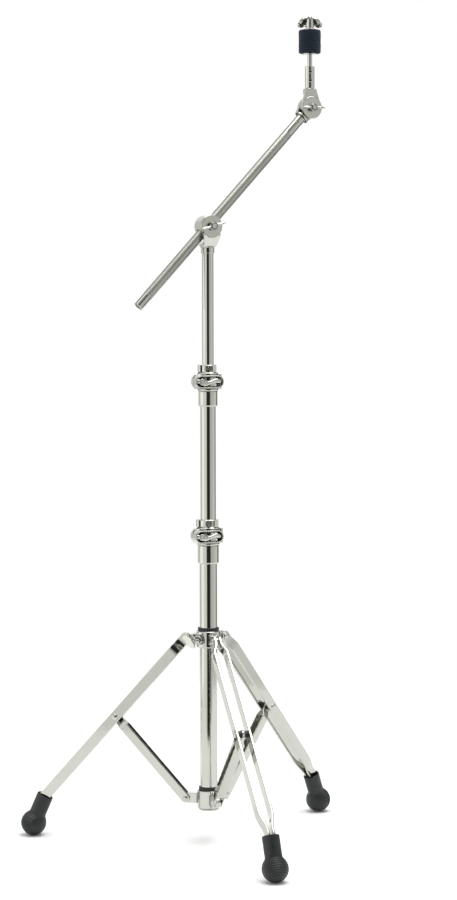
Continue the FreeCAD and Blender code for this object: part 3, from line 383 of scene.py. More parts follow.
def between(tree, value, low, high, low_out, high_out):
    node = add(tree, "ShaderNodeMapRange", {"Value": value, "From Min": low, "From Max": high,
                                            "To Min": low_out, "To Max": high_out})
    return node.outputs["Result"]


def calc(tree, operation, a, b=0.5):
    return add(tree, "ShaderNodeMath", {0: a, 1: b}, operation=operation).outputs[0]


def make_handling_marks():
    """Faint wiped smears and finger haze on plated metal."""
    group, inside, outside = node_group("handling_marks", {"Scale": 18.0, "Low": 0.04, "High": 0.12},
                                        ["Roughness"])
    wide = noise(group, inside.outputs["Vector"], inside.outputs["Scale"], 4.0)
    fine_scale = calc(group, "MULTIPLY", inside.outputs["Scale"], 9.0)
    fine = noise(group, inside.outputs["Vector"], fine_scale, 2.0)
    mixed = calc(group, "ADD", calc(group, "MULTIPLY", wide, 0.7), calc(group, "MULTIPLY", fine, 0.3))
    result = between(group, mixed, 0.38, 0.66, inside.outputs["Low"], inside.outputs["High"])
    group.links.new(result, outside.inputs["Roughness"])
    return group


def make_cast_skin():
    """The slow waviness of a plated casting."""
    group, inside, outside = node_group("cast_skin", {"Scale": 160.0, "Grain": 900.0}, ["Height"])
    slow = noise(group, inside.outputs["Vector"], inside.outputs["Scale"], 2.0)
    grain = noise(group, inside.outputs["Vector"], inside.outputs["Grain"], 3.0)
    height = calc(group, "ADD", slow, calc(group, "MULTIPLY", grain, 0.18))
    group.links.new(height, outside.inputs["Height"])
    return group


def make_turned_rings():
    """Fine rings left by a lathe tool about the Y axis of the vector."""
    group, inside, outside = node_group("turned_rings", {"Pitch": 900.0}, ["Height"])
    apart = add(group, "ShaderNodeSeparateXYZ", {"Vector": inside.outputs["Vector"]})
    square = calc(group, "ADD", calc(group, "POWER", apart.outputs["X"], 2.0),
                  calc(group, "POWER", apart.outputs["Z"], 2.0))
    radius = calc(group, "SQRT", square)
    wave = calc(group, "SINE", calc(group, "MULTIPLY", radius, inside.outputs["Pitch"]))
    broad = calc(group, "SINE", calc(group, "MULTIPLY", radius,
                                     calc(group, "MULTIPLY", inside.outputs["Pitch"], 0.31)))
    group.links.new(calc(group, "ADD", wave, broad), outside.inputs["Height"])
    return group


def make_dust():
    """Pale dust that gathers in soft patches."""
    group, inside, outside = node_group("dust", {"Scale": 60.0, "Amount": 0.3}, ["Mask"])
    patches = noise(group, inside.outputs["Vector"], inside.outputs["Scale"], 5.0, 0.65)
    mask = between(group, patches, 0.45, 0.75, 0.0, inside.outputs["Amount"])
    group.links.new(mask, outside.inputs["Mask"])
    return group


def make_fibres():
    """Matted short fibres, as on pressed wool."""
    group, inside, outside = node_group("fibres", {"Scale": 900.0}, ["Height", "Mask"])
    bent = add(group, "ShaderNodeTexNoise",
               {"Vector": inside.outputs["Vector"], "Scale": 260.0, "Detail": 3.0})
    moved = add(group, "ShaderNodeVectorMath",
                {0: bent.outputs["Color"], 1: (0.006, 0.006, 0.006)}, operation="MULTIPLY")
    where = add(group, "ShaderNodeVectorMath",
                {0: inside.outputs["Vector"], 1: moved.outputs["Vector"]}, operation="ADD")
    strands = add(group, "ShaderNodeTexVoronoi",
                  {"Vector": where.outputs["Vector"], "Scale": inside.outputs["Scale"]},
                  feature="DISTANCE_TO_EDGE")
    lumps = noise(group, inside.outputs["Vector"], 420.0, 4.0, 0.7)
    height = calc(group, "ADD", calc(group, "MULTIPLY", strands.outputs["Distance"], 0.8), lumps)
    group.links.new(height, outside.inputs["Height"])
    group.links.new(lumps, outside.inputs["Mask"])
    return group


GROUPS = {"marks": make_handling_marks(), "skin": make_cast_skin(), "rings": make_turned_rings(),
          "dust": make_dust(), "fibres": make_fibres()}


# ---------------------------------------------------------------- materials
class Finish:
    """A Principled material under construction, with the piece's own coordinates at hand."""

    def __init__(self, name, **constants):
        self.material = bpy.data.materials.new(name)
        self.material.use_nodes = True
        self.tree = self.material.node_tree
        self.shader = self.tree.nodes["Principled BSDF"]
        for label, value in constants.items():
            self.shader.inputs[label.replace("_", " ")].default_value = value
        self.place = add(self.tree, "ShaderNodeTexCoord").outputs["Object"]

    def group(self, key, output, vector=None, **inputs):
        node = self.tree.nodes.new("ShaderNodeGroup")
        node.node_tree = GROUPS[key]
        self.tree.links.new(vector or self.place, node.inputs["Vector"])
        for label, value in inputs.items():
            node.inputs[label].default_value = value
        return node.outputs[output]

    def colour(self, dark, light, mask):
        mix = add(self.tree, "ShaderNodeMix", {"Factor": mask}, data_type="RGBA")
        mix.inputs["A"].default_value = (*dark, 1)
        mix.inputs["B"].default_value = (*light, 1)
        self.tree.links.new(mix.outputs["Result"], self.shader.inputs["Base Color"])

    def colour_over(self, colour, mask):
        """Lays another colour over the one that is there, where the mask says."""
        socket = self.shader.inputs["Base Color"]
        mix = add(self.tree, "ShaderNodeMix", {"Factor": mask}, data_type="RGBA")
        self.tree.links.new(socket.links[0].from_socket, mix.inputs["A"])
        mix.inputs["B"].default_value = (*colour, 1)
        self.tree.links.new(mix.outputs["Result"], socket)

    def rough(self, value):
        self.tree.links.new(value, self.shader.inputs["Roughness"])

    def bump(self, height, strength, distance):
        """Adds a height on top of the bumps that are there already."""
        node = add(self.tree, "ShaderNodeBump",
                   {"Strength": strength, "Distance": distance, "Height": height})
        socket = self.shader.inputs["Normal"]
        if socket.links:
            self.tree.links.new(socket.links[0].from_socket, node.inputs["Normal"])
        self.tree.links.new(node.outputs["Normal"], socket)

    def moved(self, offset=(0, 0, 0), rotation=(0, 0, 0), scale=(1, 1, 1)):
        node = add(self.tree, "ShaderNodeMapping", {"Vector": self.place}, vector_type="TEXTURE")
        node.inputs["Location"].default_value = offset
        node.inputs["Rotation"].default_value = rotation
        node.inputs["Scale"].default_value = scale
        return node.outputs["Vector"]


CHROME_DARK = (0.46, 0.462, 0.425)
CHROME_LIGHT = (0.55, 0.552, 0.515)
CREASE_SHADE_COLOUR = (0.06, 0.065, 0.058)


def drawn_chrome():
    """Bright plating on drawn tube and bar: mirror clear, with faint haze."""
    finish = Finish("drawn_chrome", Metallic=1.0)
    finish.colour(CHROME_DARK, CHROME_LIGHT, noise(finish.tree, finish.place, 7.0))
    finish.rough(finish.group("marks", "Roughness", Scale=14.0, Low=0.03, High=0.10))
    finish.bump(finish.group("skin", "Height", Scale=45.0, Grain=500.0), 0.05, 0.0004)
    return finish.material


def cast_chrome(name, ring_centre=None):
    """Plating over a casting; a turned face gets rings about its own axis where the piece marks it."""
    finish = Finish(name, Metallic=1.0)
    crease_shade = add(finish.tree, "ShaderNodeAttribute", attribute_name="crease_shade").outputs["Fac"]
    finish.colour(CHROME_DARK, CHROME_LIGHT, noise(finish.tree, finish.place, 30.0))
    # painted shade: near-black colour laid into the inner corners that the corner mark picks out
    finish.colour_over(CREASE_SHADE_COLOUR, calc(finish.tree, "MULTIPLY", crease_shade, 0.9))
    finish.rough(finish.group("marks", "Roughness", Scale=40.0, Low=0.05, High=0.16))
    finish.bump(finish.group("skin", "Height", Scale=150.0), 0.02, 0.0004)
    if ring_centre:
        vector = finish.moved(offset=ring_centre)
        rings = finish.group("rings", "Height", vector, Pitch=5600.0)
        marked = add(finish.tree, "ShaderNodeAttribute", attribute_name="turned").outputs["Fac"]
        finish.bump(calc(finish.tree, "MULTIPLY", rings, marked), 0.35, 0.00006)
    return finish.material


def knurled_chrome():
    """Plating over knurling: the diamonds are in the mesh, and dirt dulls it."""
    finish = Finish("knurled_chrome", Metallic=1.0)
    finish.colour((0.36, 0.365, 0.33), (0.48, 0.485, 0.445), noise(finish.tree, finish.place, 25.0, 5.0))
    finish.rough(finish.group("marks", "Roughness", Scale=40.0, Low=0.30, High=0.38))
    finish.bump(finish.group("skin", "Height", Scale=900.0, Grain=3000.0), 0.02, 0.0002)
    return finish.material


def plated_steel():
    """Zinc-bright rod, bolts, washers and rivets."""
    finish = Finish("plated_steel", Metallic=1.0)
    finish.colour((0.46, 0.465, 0.44), (0.57, 0.575, 0.55), noise(finish.tree, finish.place, 90.0, 5.0))
    finish.rough(finish.group("marks", "Roughness", Scale=80.0, Low=0.12, High=0.26))
    finish.bump(finish.group("skin", "Height", Scale=400.0, Grain=1800.0), 0.08, 0.0002)
    return finish.material


def black_rubber():
    """Moulded rubber with a satin bloom and a little floor dust."""
    finish = Finish("black_rubber", Metallic=0.0, Specular_IOR_Level=0.42)
    finish.colour((0.006, 0.008, 0.009), (0.030, 0.034, 0.036),
                  finish.group("dust", "Mask", Scale=90.0, Amount=0.4))
    finish.rough(between(finish.tree, noise(finish.tree, finish.place, 70.0, 4.0), 0.3, 0.7, 0.36, 0.52))
    finish.bump(finish.group("skin", "Height", Scale=500.0, Grain=2600.0), 0.35, 0.0003)
    return finish.material


def moulded_nylon(name, dark, light):
    """Moulded nylon, finely textured."""
    finish = Finish(name, Metallic=0.0)
    finish.colour(dark, light, finish.group("dust", "Mask", Scale=140.0, Amount=0.5))
    finish.rough(between(finish.tree, noise(finish.tree, finish.place, 120.0), 0.3, 0.7, 0.36, 0.52))
    finish.bump(finish.group("skin", "Height", Scale=900.0, Grain=3600.0), 0.25, 0.0002)
    return finish.material


def navy_felt():
    """Pressed wool dyed a blue black."""
    finish = Finish("navy_felt", Metallic=0.0, Sheen_Weight=0.35, Sheen_Roughness=0.5,
                    Specular_IOR_Level=0.15)
    finish.shader.inputs["Sheen Tint"].default_value = (0.35, 0.45, 0.55, 1)
    finish.colour((0.004, 0.007, 0.012), (0.020, 0.032, 0.046), finish.group("fibres", "Mask"))
    finish.rough(between(finish.tree, finish.group("fibres", "Mask"), 0.3, 0.7, 0.85, 1.0))
    finish.bump(finish.group("fibres", "Height", Scale=1100.0), 0.9, 0.0009)
    return finish.material


FACE_CENTRE = tuple(mm(PIVOT))
TILTER_CENTRE = tuple(mm(TILTER))
CHROME = drawn_chrome()
CAST = cast_chrome("cast_chrome")
HOLDER_CAST = cast_chrome("holder_cast_chrome", FACE_CENTRE)
TILTER_CAST = cast_chrome("tilter_cast_chrome", TILTER_CENTRE)
KNURLED = knurled_chrome()
STEEL = plated_steel()
RUBBER = black_rubber()
BLACK_NYLON = moulded_nylon("black_nylon", (0.008, 0.009, 0.010), (0.035, 0.036, 0.038))
NYLON = moulded_nylon("grey_nylon", (0.035, 0.036, 0.040), (0.08, 0.082, 0.088))
FELT = navy_felt()
SLOT_FINISH = {"chrome": CHROME, "cast_chrome": CAST, "zinc_steel": STEEL, "black_rubber": RUBBER,
               "black_nylon": BLACK_NYLON, "nylon": NYLON, "felt": FELT}


# ---------------------------------------------------------------- castings taken from the frame
def mark_turned_face(obj, centre, front, radius):
    """Marks the flat disc at the front, where the lathe left its rings."""
    points = points_in_mm(obj)
    away = np.hypot(points[:, 0] - centre.x, points[:, 2] - centre.z)
    on_face = (np.abs(points[:, 1] - front) < FACE_TOLERANCE) & (away < radius)
    mark = obj.data.attributes.new("turned", "FLOAT", "POINT")
    mark.data.foreach_set("value", on_face.astype(np.float32))


def castings():
    """Each with its voxel and smoothing passes, and the rounds that it has about its own axes."""
    pole = ((0, 0, 0), (0, 0, 1))
    cross = (0, 1, 0)
    boom_axis = BOOM_FRAME.to_3x3() @ Vector((0, 0, 1))
    for node, voxel, passes, radii in (("lower_hub", 0.45, 6, (19.0, 17.0)),
                                       ("upper_hub", 0.45, 6, (20.0,)),
                                       ("middle_stop_ring", 0.4, 4, (MIDDLE_TUBE_R + STOP_WALL,)),
                                       ("upper_stop_ring", 0.4, 4, (UPPER_TUBE_R + STOP_WALL,))):
        shown(cast(node + "_casting", node, voxel, passes, [(*pole, radii)]), node, CAST)
    shown(cast("boom_drum_casting", "boom_drum", 0.45, 5, [(PIVOT, cross, (18.0,))]), "boom_drum", CAST)
    post = cast("holder_post_casting", "holder_post", 0.4, 16, [(PIVOT, cross, (18.0,)), (*pole, (11.0,))])
    mark_turned_face(post, PIVOT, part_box("holder_post")[0].y * 1000, 17.2)
    shown(post, "holder_post", HOLDER_CAST)
    for node, up in (("tilter_base", boom_axis), ("tilter_head", (0, 0, 1))):
        half = cast(node + "_casting", node, 0.36, 8, [(TILTER, cross, (17.8,)), (TILTER, up, (7.9, 12.0))])
        low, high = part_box(node)
        mark_turned_face(half, TILTER, (low.y if node == "tilter_head" else high.y) * 1000, 17.0)
        shown(half, node, TILTER_CAST)
    for number in (1, 2, 3):
        node = "brace_%d" % number
        shown(cast(node + "_channel", node, 0.8, 2), node, CHROME)
    for node in ("base_clamp_bolt", "middle_clamp_bolt"):
        shown(cast(node + "_steel", node, 0.28, 3), node, STEEL)
    shown(cast("hub_wing_screw_casting", "hub_wing_screw", 0.35, 5), "hub_wing_screw", CAST)


# ---------------------------------------------------------------- clamps and their levers
def oval_wall(name, half_length, radius, wall, front, back, place):
    """Wall round a stadium outline in the XZ plane."""
    def loop(r):
        right = [(half_length + r * math.cos(a), r * math.sin(a))
                 for a in np.linspace(-math.pi / 2, math.pi / 2, 17)]
        left = [(-half_length + r * math.cos(a), r * math.sin(a))
                for a in np.linspace(math.pi / 2, math.pi * 1.5, 17)]
        return right + left

    outer = loop(radius)
    inner = loop(radius - wall)
    corners = [(outer, front), (outer, back), (inner, back), (inner, front)]
    points = [(x, y, z) for outline, y in corners for x, z in outline]
    return mesh_object(name, points, bands(len(corners), len(outer), ring=True), place)


def lever_clamps():
    """Each clamp has an oval wall round its lever, and the lever waves across it."""
    for joint, clamp, nut, radii in (("base_nut_turn", "base_clamp", "base_clamp_nut", (17.2, 18.6)),
                                     ("middle_nut_turn", "middle_clamp", "middle_clamp_nut", (15.6, 17.0))):
        bolt = Vector(JOINT[joint]["pos_m"]) * 1000
        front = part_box(nut)[0].y * 1000
        behind = front + LEVER_THICKNESS
        wall_place = shift(bolt.x + CLAMP_OVAL_HALF, 0, bolt.z)
        wall = oval_wall("wall", CLAMP_OVAL_HALF, CLAMP_OVAL_R, CLAMP_OVAL_WALL,
                         behind + LEVER_SUNK, CLAMP_OVAL_BACK, wall_place)
        body = joined(clamp + "_casting", [cad_copy("copy", clamp), wall])
        grown_together(body, 0.56, 4)
        trued(body, (0, 0, 0), (0, 0, 1), radii)
        mark_crease_shade(body)
        shown(body, clamp, CAST)
        shown(lever_piece(nut + "_casting", bolt, front), nut, CAST)


def lever_piece(name, bolt, front):
    """Hub, tapered neck, an S-shaped lever and a short tail, grown together."""
    place = shift(bolt.x, 0, bolt.z)
    behind = front + LEVER_THICKNESS
    start = -CLAMP_EAR_HALF - 0.3
    inner = CLAMP_BOLT_R + 0.15
    neck = [(inner, start), (LEVER_HUB_R, start), (LEVER_HUB_R, start - LEVER_HUB_STEP), (5.6, behind),
            (5.4, front + 0.4), (4.4, front), (inner, front)]
    hub = lathe("hub", [(r, -y) for r, y in neck], place @ turn("X", 90), 56, 0.6, ring=True)
    middle = (front + behind) / 2
    stations = ((2.0, -1.2, 4.6), (6.0, -2.0, 4.3), (10.0, -2.0, 3.4), (14.0, -0.9, 2.9), (18.0, 0.7, 2.8),
                (22.0, 1.9, 3.1), (26.0, 2.1, 3.5), (29.0, 1.6, 3.4), (31.5, 1.0, 2.7), (33.0, 0.6, 1.4))
    sections = []
    for x, z, half in stations:
        thick = LEVER_THICKNESS / 2 * (1.0 if x < 29 else 0.8 if x < 32 else 0.5)
        sections.append([(x, middle + thick * math.sin(a), z + half * math.cos(a))
                         for a in np.linspace(0, 2 * math.pi, 25)[:-1]])
    lever = loft("lever", sections, place)
    tail = egg("tail", (-6.5, middle, 1.0), (4.2, LEVER_THICKNESS / 2, 3.4), place)
    piece = joined(name, [hub, lever, tail])
    grown_together(piece, 0.32, 3)
    mark_crease_shade(piece)
    return piece


def stop_screws():
    """Round screw heads with a sunk socket, on the bosses of the two stop rings."""
    for node, tube_r in (("middle_stop_key", MIDDLE_TUBE_R), ("upper_stop_key", UPPER_TUBE_R)):
        low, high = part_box(node)
        place = shift(0, 0, (low.z + high.z) * 500) @ turn("Z", STOP_KEY_AZIMUTH) @ turn("Y", 90)
        seat = tube_r + STOP_BOSS_REACH
        outline = [(0, tube_r + 0.1), (2.38, tube_r + 0.1), (2.38, seat + 0.02), (3.1, seat + 0.02),
                   (3.1, seat + 1.6), (1.7, seat + 1.6), (1.5, seat + 0.5), (0, seat + 0.5)]
        shown(lathe(node + "_steel", outline, place, 40, 0.3), node, STEEL)


def shade_hub_recess(obj, centre, radius):
    """Painted shade round the bolt in the hub's recess, fading out along the wings."""
    mark = obj.data.attributes["crease_shade"].data
    for index, vertex in enumerate(obj.data.vertices):
        x = vertex.co.x * 1000 - centre.x
        z = vertex.co.z * 1000 - centre.z
        hub_shade = 0.85 * easing((radius - math.hypot(x, z)) / 2.5)
        mark[index].value = max(mark[index].value, hub_shade)


def wing_nut(node, joint, bolt_r, hub_r, crown_r, half, angle):
    """Hub with two plump wings, along Y from its seat."""
    centre = Vector(JOINT[joint]["pos_m"]) * 1000
    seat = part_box(node)[1].y * 1000
    place = shift(centre.x, seat, centre.z) @ turn("Y", angle)
    inner = bolt_r + 0.08
    outline = [(inner, 0), (hub_r, 0), (hub_r, 5.5), (crown_r, 9.0), (inner, 9.0)]
    parts = [lathe("hub", outline, place @ turn("X", 90), 56, 0.7, ring=True)]
    for side in (1, -1):
        parts.append(egg("wing", (side * (half - 9.5), -5.6, 0), (9.5, 3.3, 2.3), place))
        parts.append(egg("tip", (side * (half - 2.2), -5.8, 0), (2.2, 2.3, 1.9), place))
    piece = joined(node + "_casting", parts)
    grown_together(piece, 0.32, 3)
    mark_crease_shade(piece)
    shade_hub_recess(piece, centre, hub_r + 1.0)
    shown(piece, node, CAST)


def top_nut():
    """Round-shouldered nut with two plump, drooping wings."""
    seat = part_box("top_wing_nut")[0].z * 1000 - TILTER.z
    place = TILTER_FRAME @ shift(0, 0, seat) @ turn("Z", TOP_NUT_TURN)
    inner = 3.08
    hub = lathe("hub", [(inner, 0), (6.4, 0), (6.6, 8), (6.0, 15), (4.6, 19), (2.0, 20), (0, 20), (0, 17.5),
                        (inner, 17.5)], place, 56, 0.8, ring=True)
    parts = [hub]
    for side in (1, -1):
        parts.append(egg("wing", (0, 0, 0), (12.0, 4.2, 7.6),
                         place @ shift(side * 7.6, 0, 11.4) @ turn("Y", side * 34)))
        parts.append(egg("tip", (0, 0, 0), (5.6, 3.0, 5.0), place @ shift(side * 15.0, 0, 6.2)))
    piece = joined("top_wing_nut_casting", parts)
    grown_together(piece, 0.34, 3)
    mark_crease_shade(piece, 0.03)
    shown(piece, "top_wing_nut", CAST)


# ---------------------------------------------------------------- legs and feet
def easing(value):
    value = min(max(value, 0.0), 1.0)
    return value * value * (3 - 2 * value)


def bar_section(width, thickness, corner):
    """Rounded rectangle in (across, wide) terms, with support points beside the corners."""
    w = width / 2
    t = thickness / 2
    corners = [Vector((t, w)), Vector((-t, w)), Vector((-t, -w)), Vector((t, -w))]
    return softened(corners, corner, closed=True, steps=3)


def leg_bar(name, side, place):
    """Flat bar bent in at both ends, round at its eye, with a knee into the foot."""
    half = BAR_WIDTH / 2
    stations = [(-half * math.cos(math.pi / 2 * k / 8), math.sin(math.pi / 2 * k / 8)) for k in range(1, 9)]
    stations += [(x, 1.0) for x in (3, 6, 9, 11, 13, 15, 17.5, 20, 22, 24, 26, 32, 100, 200, 300)]
    stations += [(x, 1.0) for x in (*range(316, 353, 4), KNEE_DISTANCE)]
    sections = []
    for x, share in stations:
        near = BAR_NEAR + (BAR_FAR - BAR_NEAR) * (easing((x - 9) / 17) - easing((x - 316) / 32))
        centre = near + BAR_THICKNESS / 2
        width = BAR_WIDTH * share
        section = bar_section(width, BAR_THICKNESS, min(1.1, width * 0.3))
        sections.append([(x, side * (centre + p.x), p.y) for p in section])
    turn_down = turn("Y", LEG_ANGLE - FOOT_ANGLE)
    knee = Vector((KNEE_DISTANCE, 0, 0))
    for reach in (6.0, 25.0):
        section = bar_section(BAR_WIDTH, BAR_THICKNESS, 1.1)
        centre = BAR_NEAR + BAR_THICKNESS / 2
        sections.append([knee + turn_down @ Vector((reach, side * (centre + p.x), p.y)) for p in section])
    return loft(name, sections, place)


def rivet_head(name, place, radius, height, base, facing):
    """Domed head along the place's Y axis."""
    dome = [(radius * math.cos(a), height * math.sin(a)) for a in [math.pi / 2 * k / 8 for k in range(9)]]
    profile = [(0, -0.2), (radius, -0.2)] + dome
    tilt = turn("X", 90 if facing < 0 else -90)
    return lathe(name, profile, place @ shift(0, facing * base, 0) @ tilt, 32, 0.1)


def rivets(name, places, radius, head, height, reach):
    """Shank and two domed heads at each place."""
    parts = []
    for place in places:
        shank = [(0, -reach - 0.3), (radius, -reach - 0.3), (radius, reach + 0.3), (0, reach + 0.3)]
        parts.append(lathe("shank", shank, place @ turn("X", 90), 28, 0.1))
        parts.append(rivet_head("head", place, head, height, reach, 1))
        parts.append(rivet_head("head", place, head, height, reach, -1))
    return joined(name, parts)


def foot_radius(distance, angle, ball):
    """Skin of a foot: sleeve, ball, ribs on the outward half and a vent on the inward half."""
    along = distance - ball
    sphere = math.sqrt(max(BALL_R ** 2 - along ** 2, 0.0))
    wide = sphere
    if along < 0:
        fillet = math.sqrt((sphere - SLEEVE_R) ** 2 + FOOT_FILLET ** 2)
        wide = min((sphere + SLEEVE_R + fillet) / 2 - 0.15, max(sphere, SLEEVE_R) + 0.6)
    outward = easing((math.cos(angle) + 0.12) / 0.16)
    on_ball = easing((along + 17.5) / 2.5) * easing((19.6 - along) / 2.0)
    groove = 0.5 - 0.5 * math.cos(2 * math.pi * along / RIB_PITCH)
    wide -= RIB_DEPTH * groove ** 1.5 * outward * on_ball
    parting = math.exp(-((math.cos(angle) + 0.12) * wide / 0.55) ** 2)
    wide -= PARTING_DEPTH * parting * on_ball
    from_vent = math.hypot(along + 17.0, wide * (math.pi - abs(angle)))
    return wide - VENT_DEPTH * math.exp(-(from_vent / VENT_R) ** 4)


def foot(name, place):
    """Rubber ball foot about its own sleeve axis."""
    axis_frame = place @ shift(KNEE_DISTANCE, 0, 0) @ turn("Y", LEG_ANGLE - FOOT_ANGLE) @ turn("Y", 90)
    knee_height = LEG_PIVOT_HEIGHT - KNEE_DISTANCE * math.cos(math.radians(LEG_ANGLE))
    ball = (knee_height - BALL_R) / math.cos(math.radians(FOOT_ANGLE))
    segments = 144
    angles = [angle - math.pi for angle in circle_of(segments)]
    mouth = [(11.0, 3.5), (11.1, 0.0), (11.3, -1.2), (11.9, -1.9), (12.6, -2.0), (13.2, -1.7), (13.6, -1.1)]
    rows = [[(radius, height)] * segments for radius, height in mouth]
    skin_rows = 150
    start = -0.5
    for i in range(skin_rows):
        distance = start + (ball + BALL_R - 0.02 - start) * (i / (skin_rows - 1))
        rows.append([(foot_radius(distance, angle, ball), distance) for angle in angles])
    points = [(-radius * math.cos(angle), radius * math.sin(angle), height)
              for row in rows for (radius, height), angle in zip(row, angles)]
    return mesh_object(name, points, bands(len(rows), segments) + end_caps(len(rows), segments), axis_frame)


def legs():
    """Bars, brace rivets and feet, and the three top rivets as one piece."""
    top_rivets = []
    for number, azimuth in enumerate(LEG_AZIMUTHS, 1):
        place = leg_frame(azimuth)
        leg = "leg_%d_" % number
        shown(leg_bar(leg + "left_strip", 1, place), leg + "left_bar", CHROME)
        shown(leg_bar(leg + "right_strip", -1, place), leg + "right_bar", CHROME)
        middle = place @ shift(LINK_LENGTH, 0, 0)
        shown(rivets(leg + "round_rivet", [middle], 3.0, 5.0, 2.2, BAR_FAR + BAR_THICKNESS + 0.02),
              leg + "rivet", STEEL)
        shown(foot("foot_%d_rubber" % number, place), "foot_%d" % number, RUBBER)
        top_rivets.append(place)
        low = turn("Z", azimuth) @ shift(PIVOT_RADIUS, 0, BRACE_PIVOT_HEIGHT)
        shown(rivets("brace_%d_round_rivet" % number, [low], 2.9, 4.8, 2.1, 7.52),
              "brace_%d_rivet" % number, STEEL)
    shown(rivets("leg_top_round_rivets", top_rivets, 3.0, 5.0, 2.2, BAR_NEAR + BAR_THICKNESS + 0.3),
          "leg_top_rivets", STEEL)


# ---------------------------------------------------------------- turned pieces
def node_heights(node, base=0.0):
    """Bottom and top of a CAD node in mm, over the base."""
    low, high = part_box(node)
    return low.z * 1000 - base, high.z * 1000 - base


def turned_pieces():
    """Rubber rings on the hubs and washers on the rod, each a rectangle turned about its axis."""
    for node, name, inner, outer, soften in (("lower_ring", "lower_rubber_ring", 14.32, 16.2, 1.4),
                                             ("upper_ring", "upper_rubber_ring", 14.35, 17.3, 1.8)):
        bottom, top = node_heights(node)
        shown(lathe(name, [(inner, bottom), (outer, bottom), (outer, top), (inner, top)], ring=True,
                    soften=soften), node, RUBBER)
    for node, outer in (("seat_washer", 12.0), ("top_washer", 10.5)):
        bottom, top = node_heights(node, TILTER.z)
        outline = [(WASHER_BORE_R, bottom), (outer, bottom), (outer, top), (WASHER_BORE_R, top)]
        shown(lathe(node + "_steel", outline, TILTER_FRAME, ring=True, soften=0.4), node, STEEL)


# ---------------------------------------------------------------- boom
def geometry_tree(name, inputs):
    """A geometry tree with named float inputs, and its two end nodes."""
    tree = bpy.data.node_groups.new(name, "GeometryNodeTree")
    tree.interface.new_socket("Geometry", in_out="INPUT", socket_type="NodeSocketGeometry")
    for label, default in inputs.items():
        socket = tree.interface.new_socket(label, in_out="INPUT", socket_type="NodeSocketFloat")
        socket.default_value = default
    tree.interface.new_socket("Geometry", in_out="OUTPUT", socket_type="NodeSocketGeometry")
    return tree, tree.nodes.new("NodeGroupInput"), tree.nodes.new("NodeGroupOutput")


def finished_tree(tree, geometry, material, outside):
    """Ends a tree with real geometry that carries its material."""
    real = add(tree, "GeometryNodeRealizeInstances", {"Geometry": geometry})
    dressed = add(tree, "GeometryNodeSetMaterial",
                  {"Geometry": real.outputs["Geometry"], "Material": material})
    tree.links.new(dressed.outputs["Geometry"], outside.inputs["Geometry"])
    return tree


def run_tree(obj, tree, **values):
    """Runs a geometry tree on an object with its inputs set by identifier, and keeps the mesh."""
    modifier = obj.modifiers.new("made", "NODES")
    modifier.node_group = tree
    for item in tree.interface.items_tree:
        if item.item_type == "SOCKET" and item.in_out == "INPUT" and item.name in values:
            modifier[item.identifier] = values[item.name]
    return fixed_mesh(obj)


def knurling_tree(material):
    """Bends a flat grid into a sleeve whose crossed helices stand up as diamonds."""
    tree, inside, outside = geometry_tree("knurling", {"Radius": 0.008, "Depth": 0.0002, "Diamonds": 30.0,
                                                       "Pitch": 0.0022})
    where = add(tree, "GeometryNodeInputPosition").outputs["Position"]
    apart = add(tree, "ShaderNodeSeparateXYZ", {"Vector": where})
    angle = apart.outputs["X"]
    along = apart.outputs["Y"]
    round_count = calc(tree, "MULTIPLY", angle, calc(tree, "DIVIDE", inside.outputs["Diamonds"], 2 * math.pi))
    long_count = calc(tree, "DIVIDE", along, inside.outputs["Pitch"])
    right_hand = calc(tree, "PINGPONG", calc(tree, "ADD", round_count, long_count), 0.5)
    left_hand = calc(tree, "PINGPONG", calc(tree, "SUBTRACT", round_count, long_count), 0.5)
    height = calc(tree, "MULTIPLY", calc(tree, "MINIMUM", right_hand, left_hand), 2.0)
    sunk = calc(tree, "MULTIPLY", calc(tree, "SUBTRACT", 1.0, height), inside.outputs["Depth"])
    radius = calc(tree, "SUBTRACT", inside.outputs["Radius"], sunk)
    across = calc(tree, "MULTIPLY", radius, calc(tree, "COSINE", angle))
    upward = calc(tree, "MULTIPLY", radius, calc(tree, "SINE", angle))
    bent = add(tree, "ShaderNodeCombineXYZ", {"X": across, "Y": upward, "Z": along})
    placed = add(tree, "GeometryNodeSetPosition", {"Geometry": inside.outputs["Geometry"],
                                                   "Position": bent.outputs["Vector"]})
    merged = add(tree, "GeometryNodeMergeByDistance", {"Geometry": placed.outputs["Geometry"],
                                                       "Distance": 0.000004})
    return finished_tree(tree, merged.outputs["Geometry"], material, outside)


def flat_grid(name, columns, rows, width, start, end):
    """Grid in the XY plane: X is the angle round the sleeve and Y runs along it."""
    points = [(width * i / columns, start + (end - start) * j / rows, 0)
              for j in range(rows + 1) for i in range(columns + 1)]
    stride = columns + 1
    faces = [(j * stride + i, j * stride + i + 1, (j + 1) * stride + i + 1, (j + 1) * stride + i)
             for j in range(rows) for i in range(columns)]
    mesh = bpy.data.meshes.new(name)
    mesh.from_pydata(points, [], faces)
    return placed_object(name, mesh)


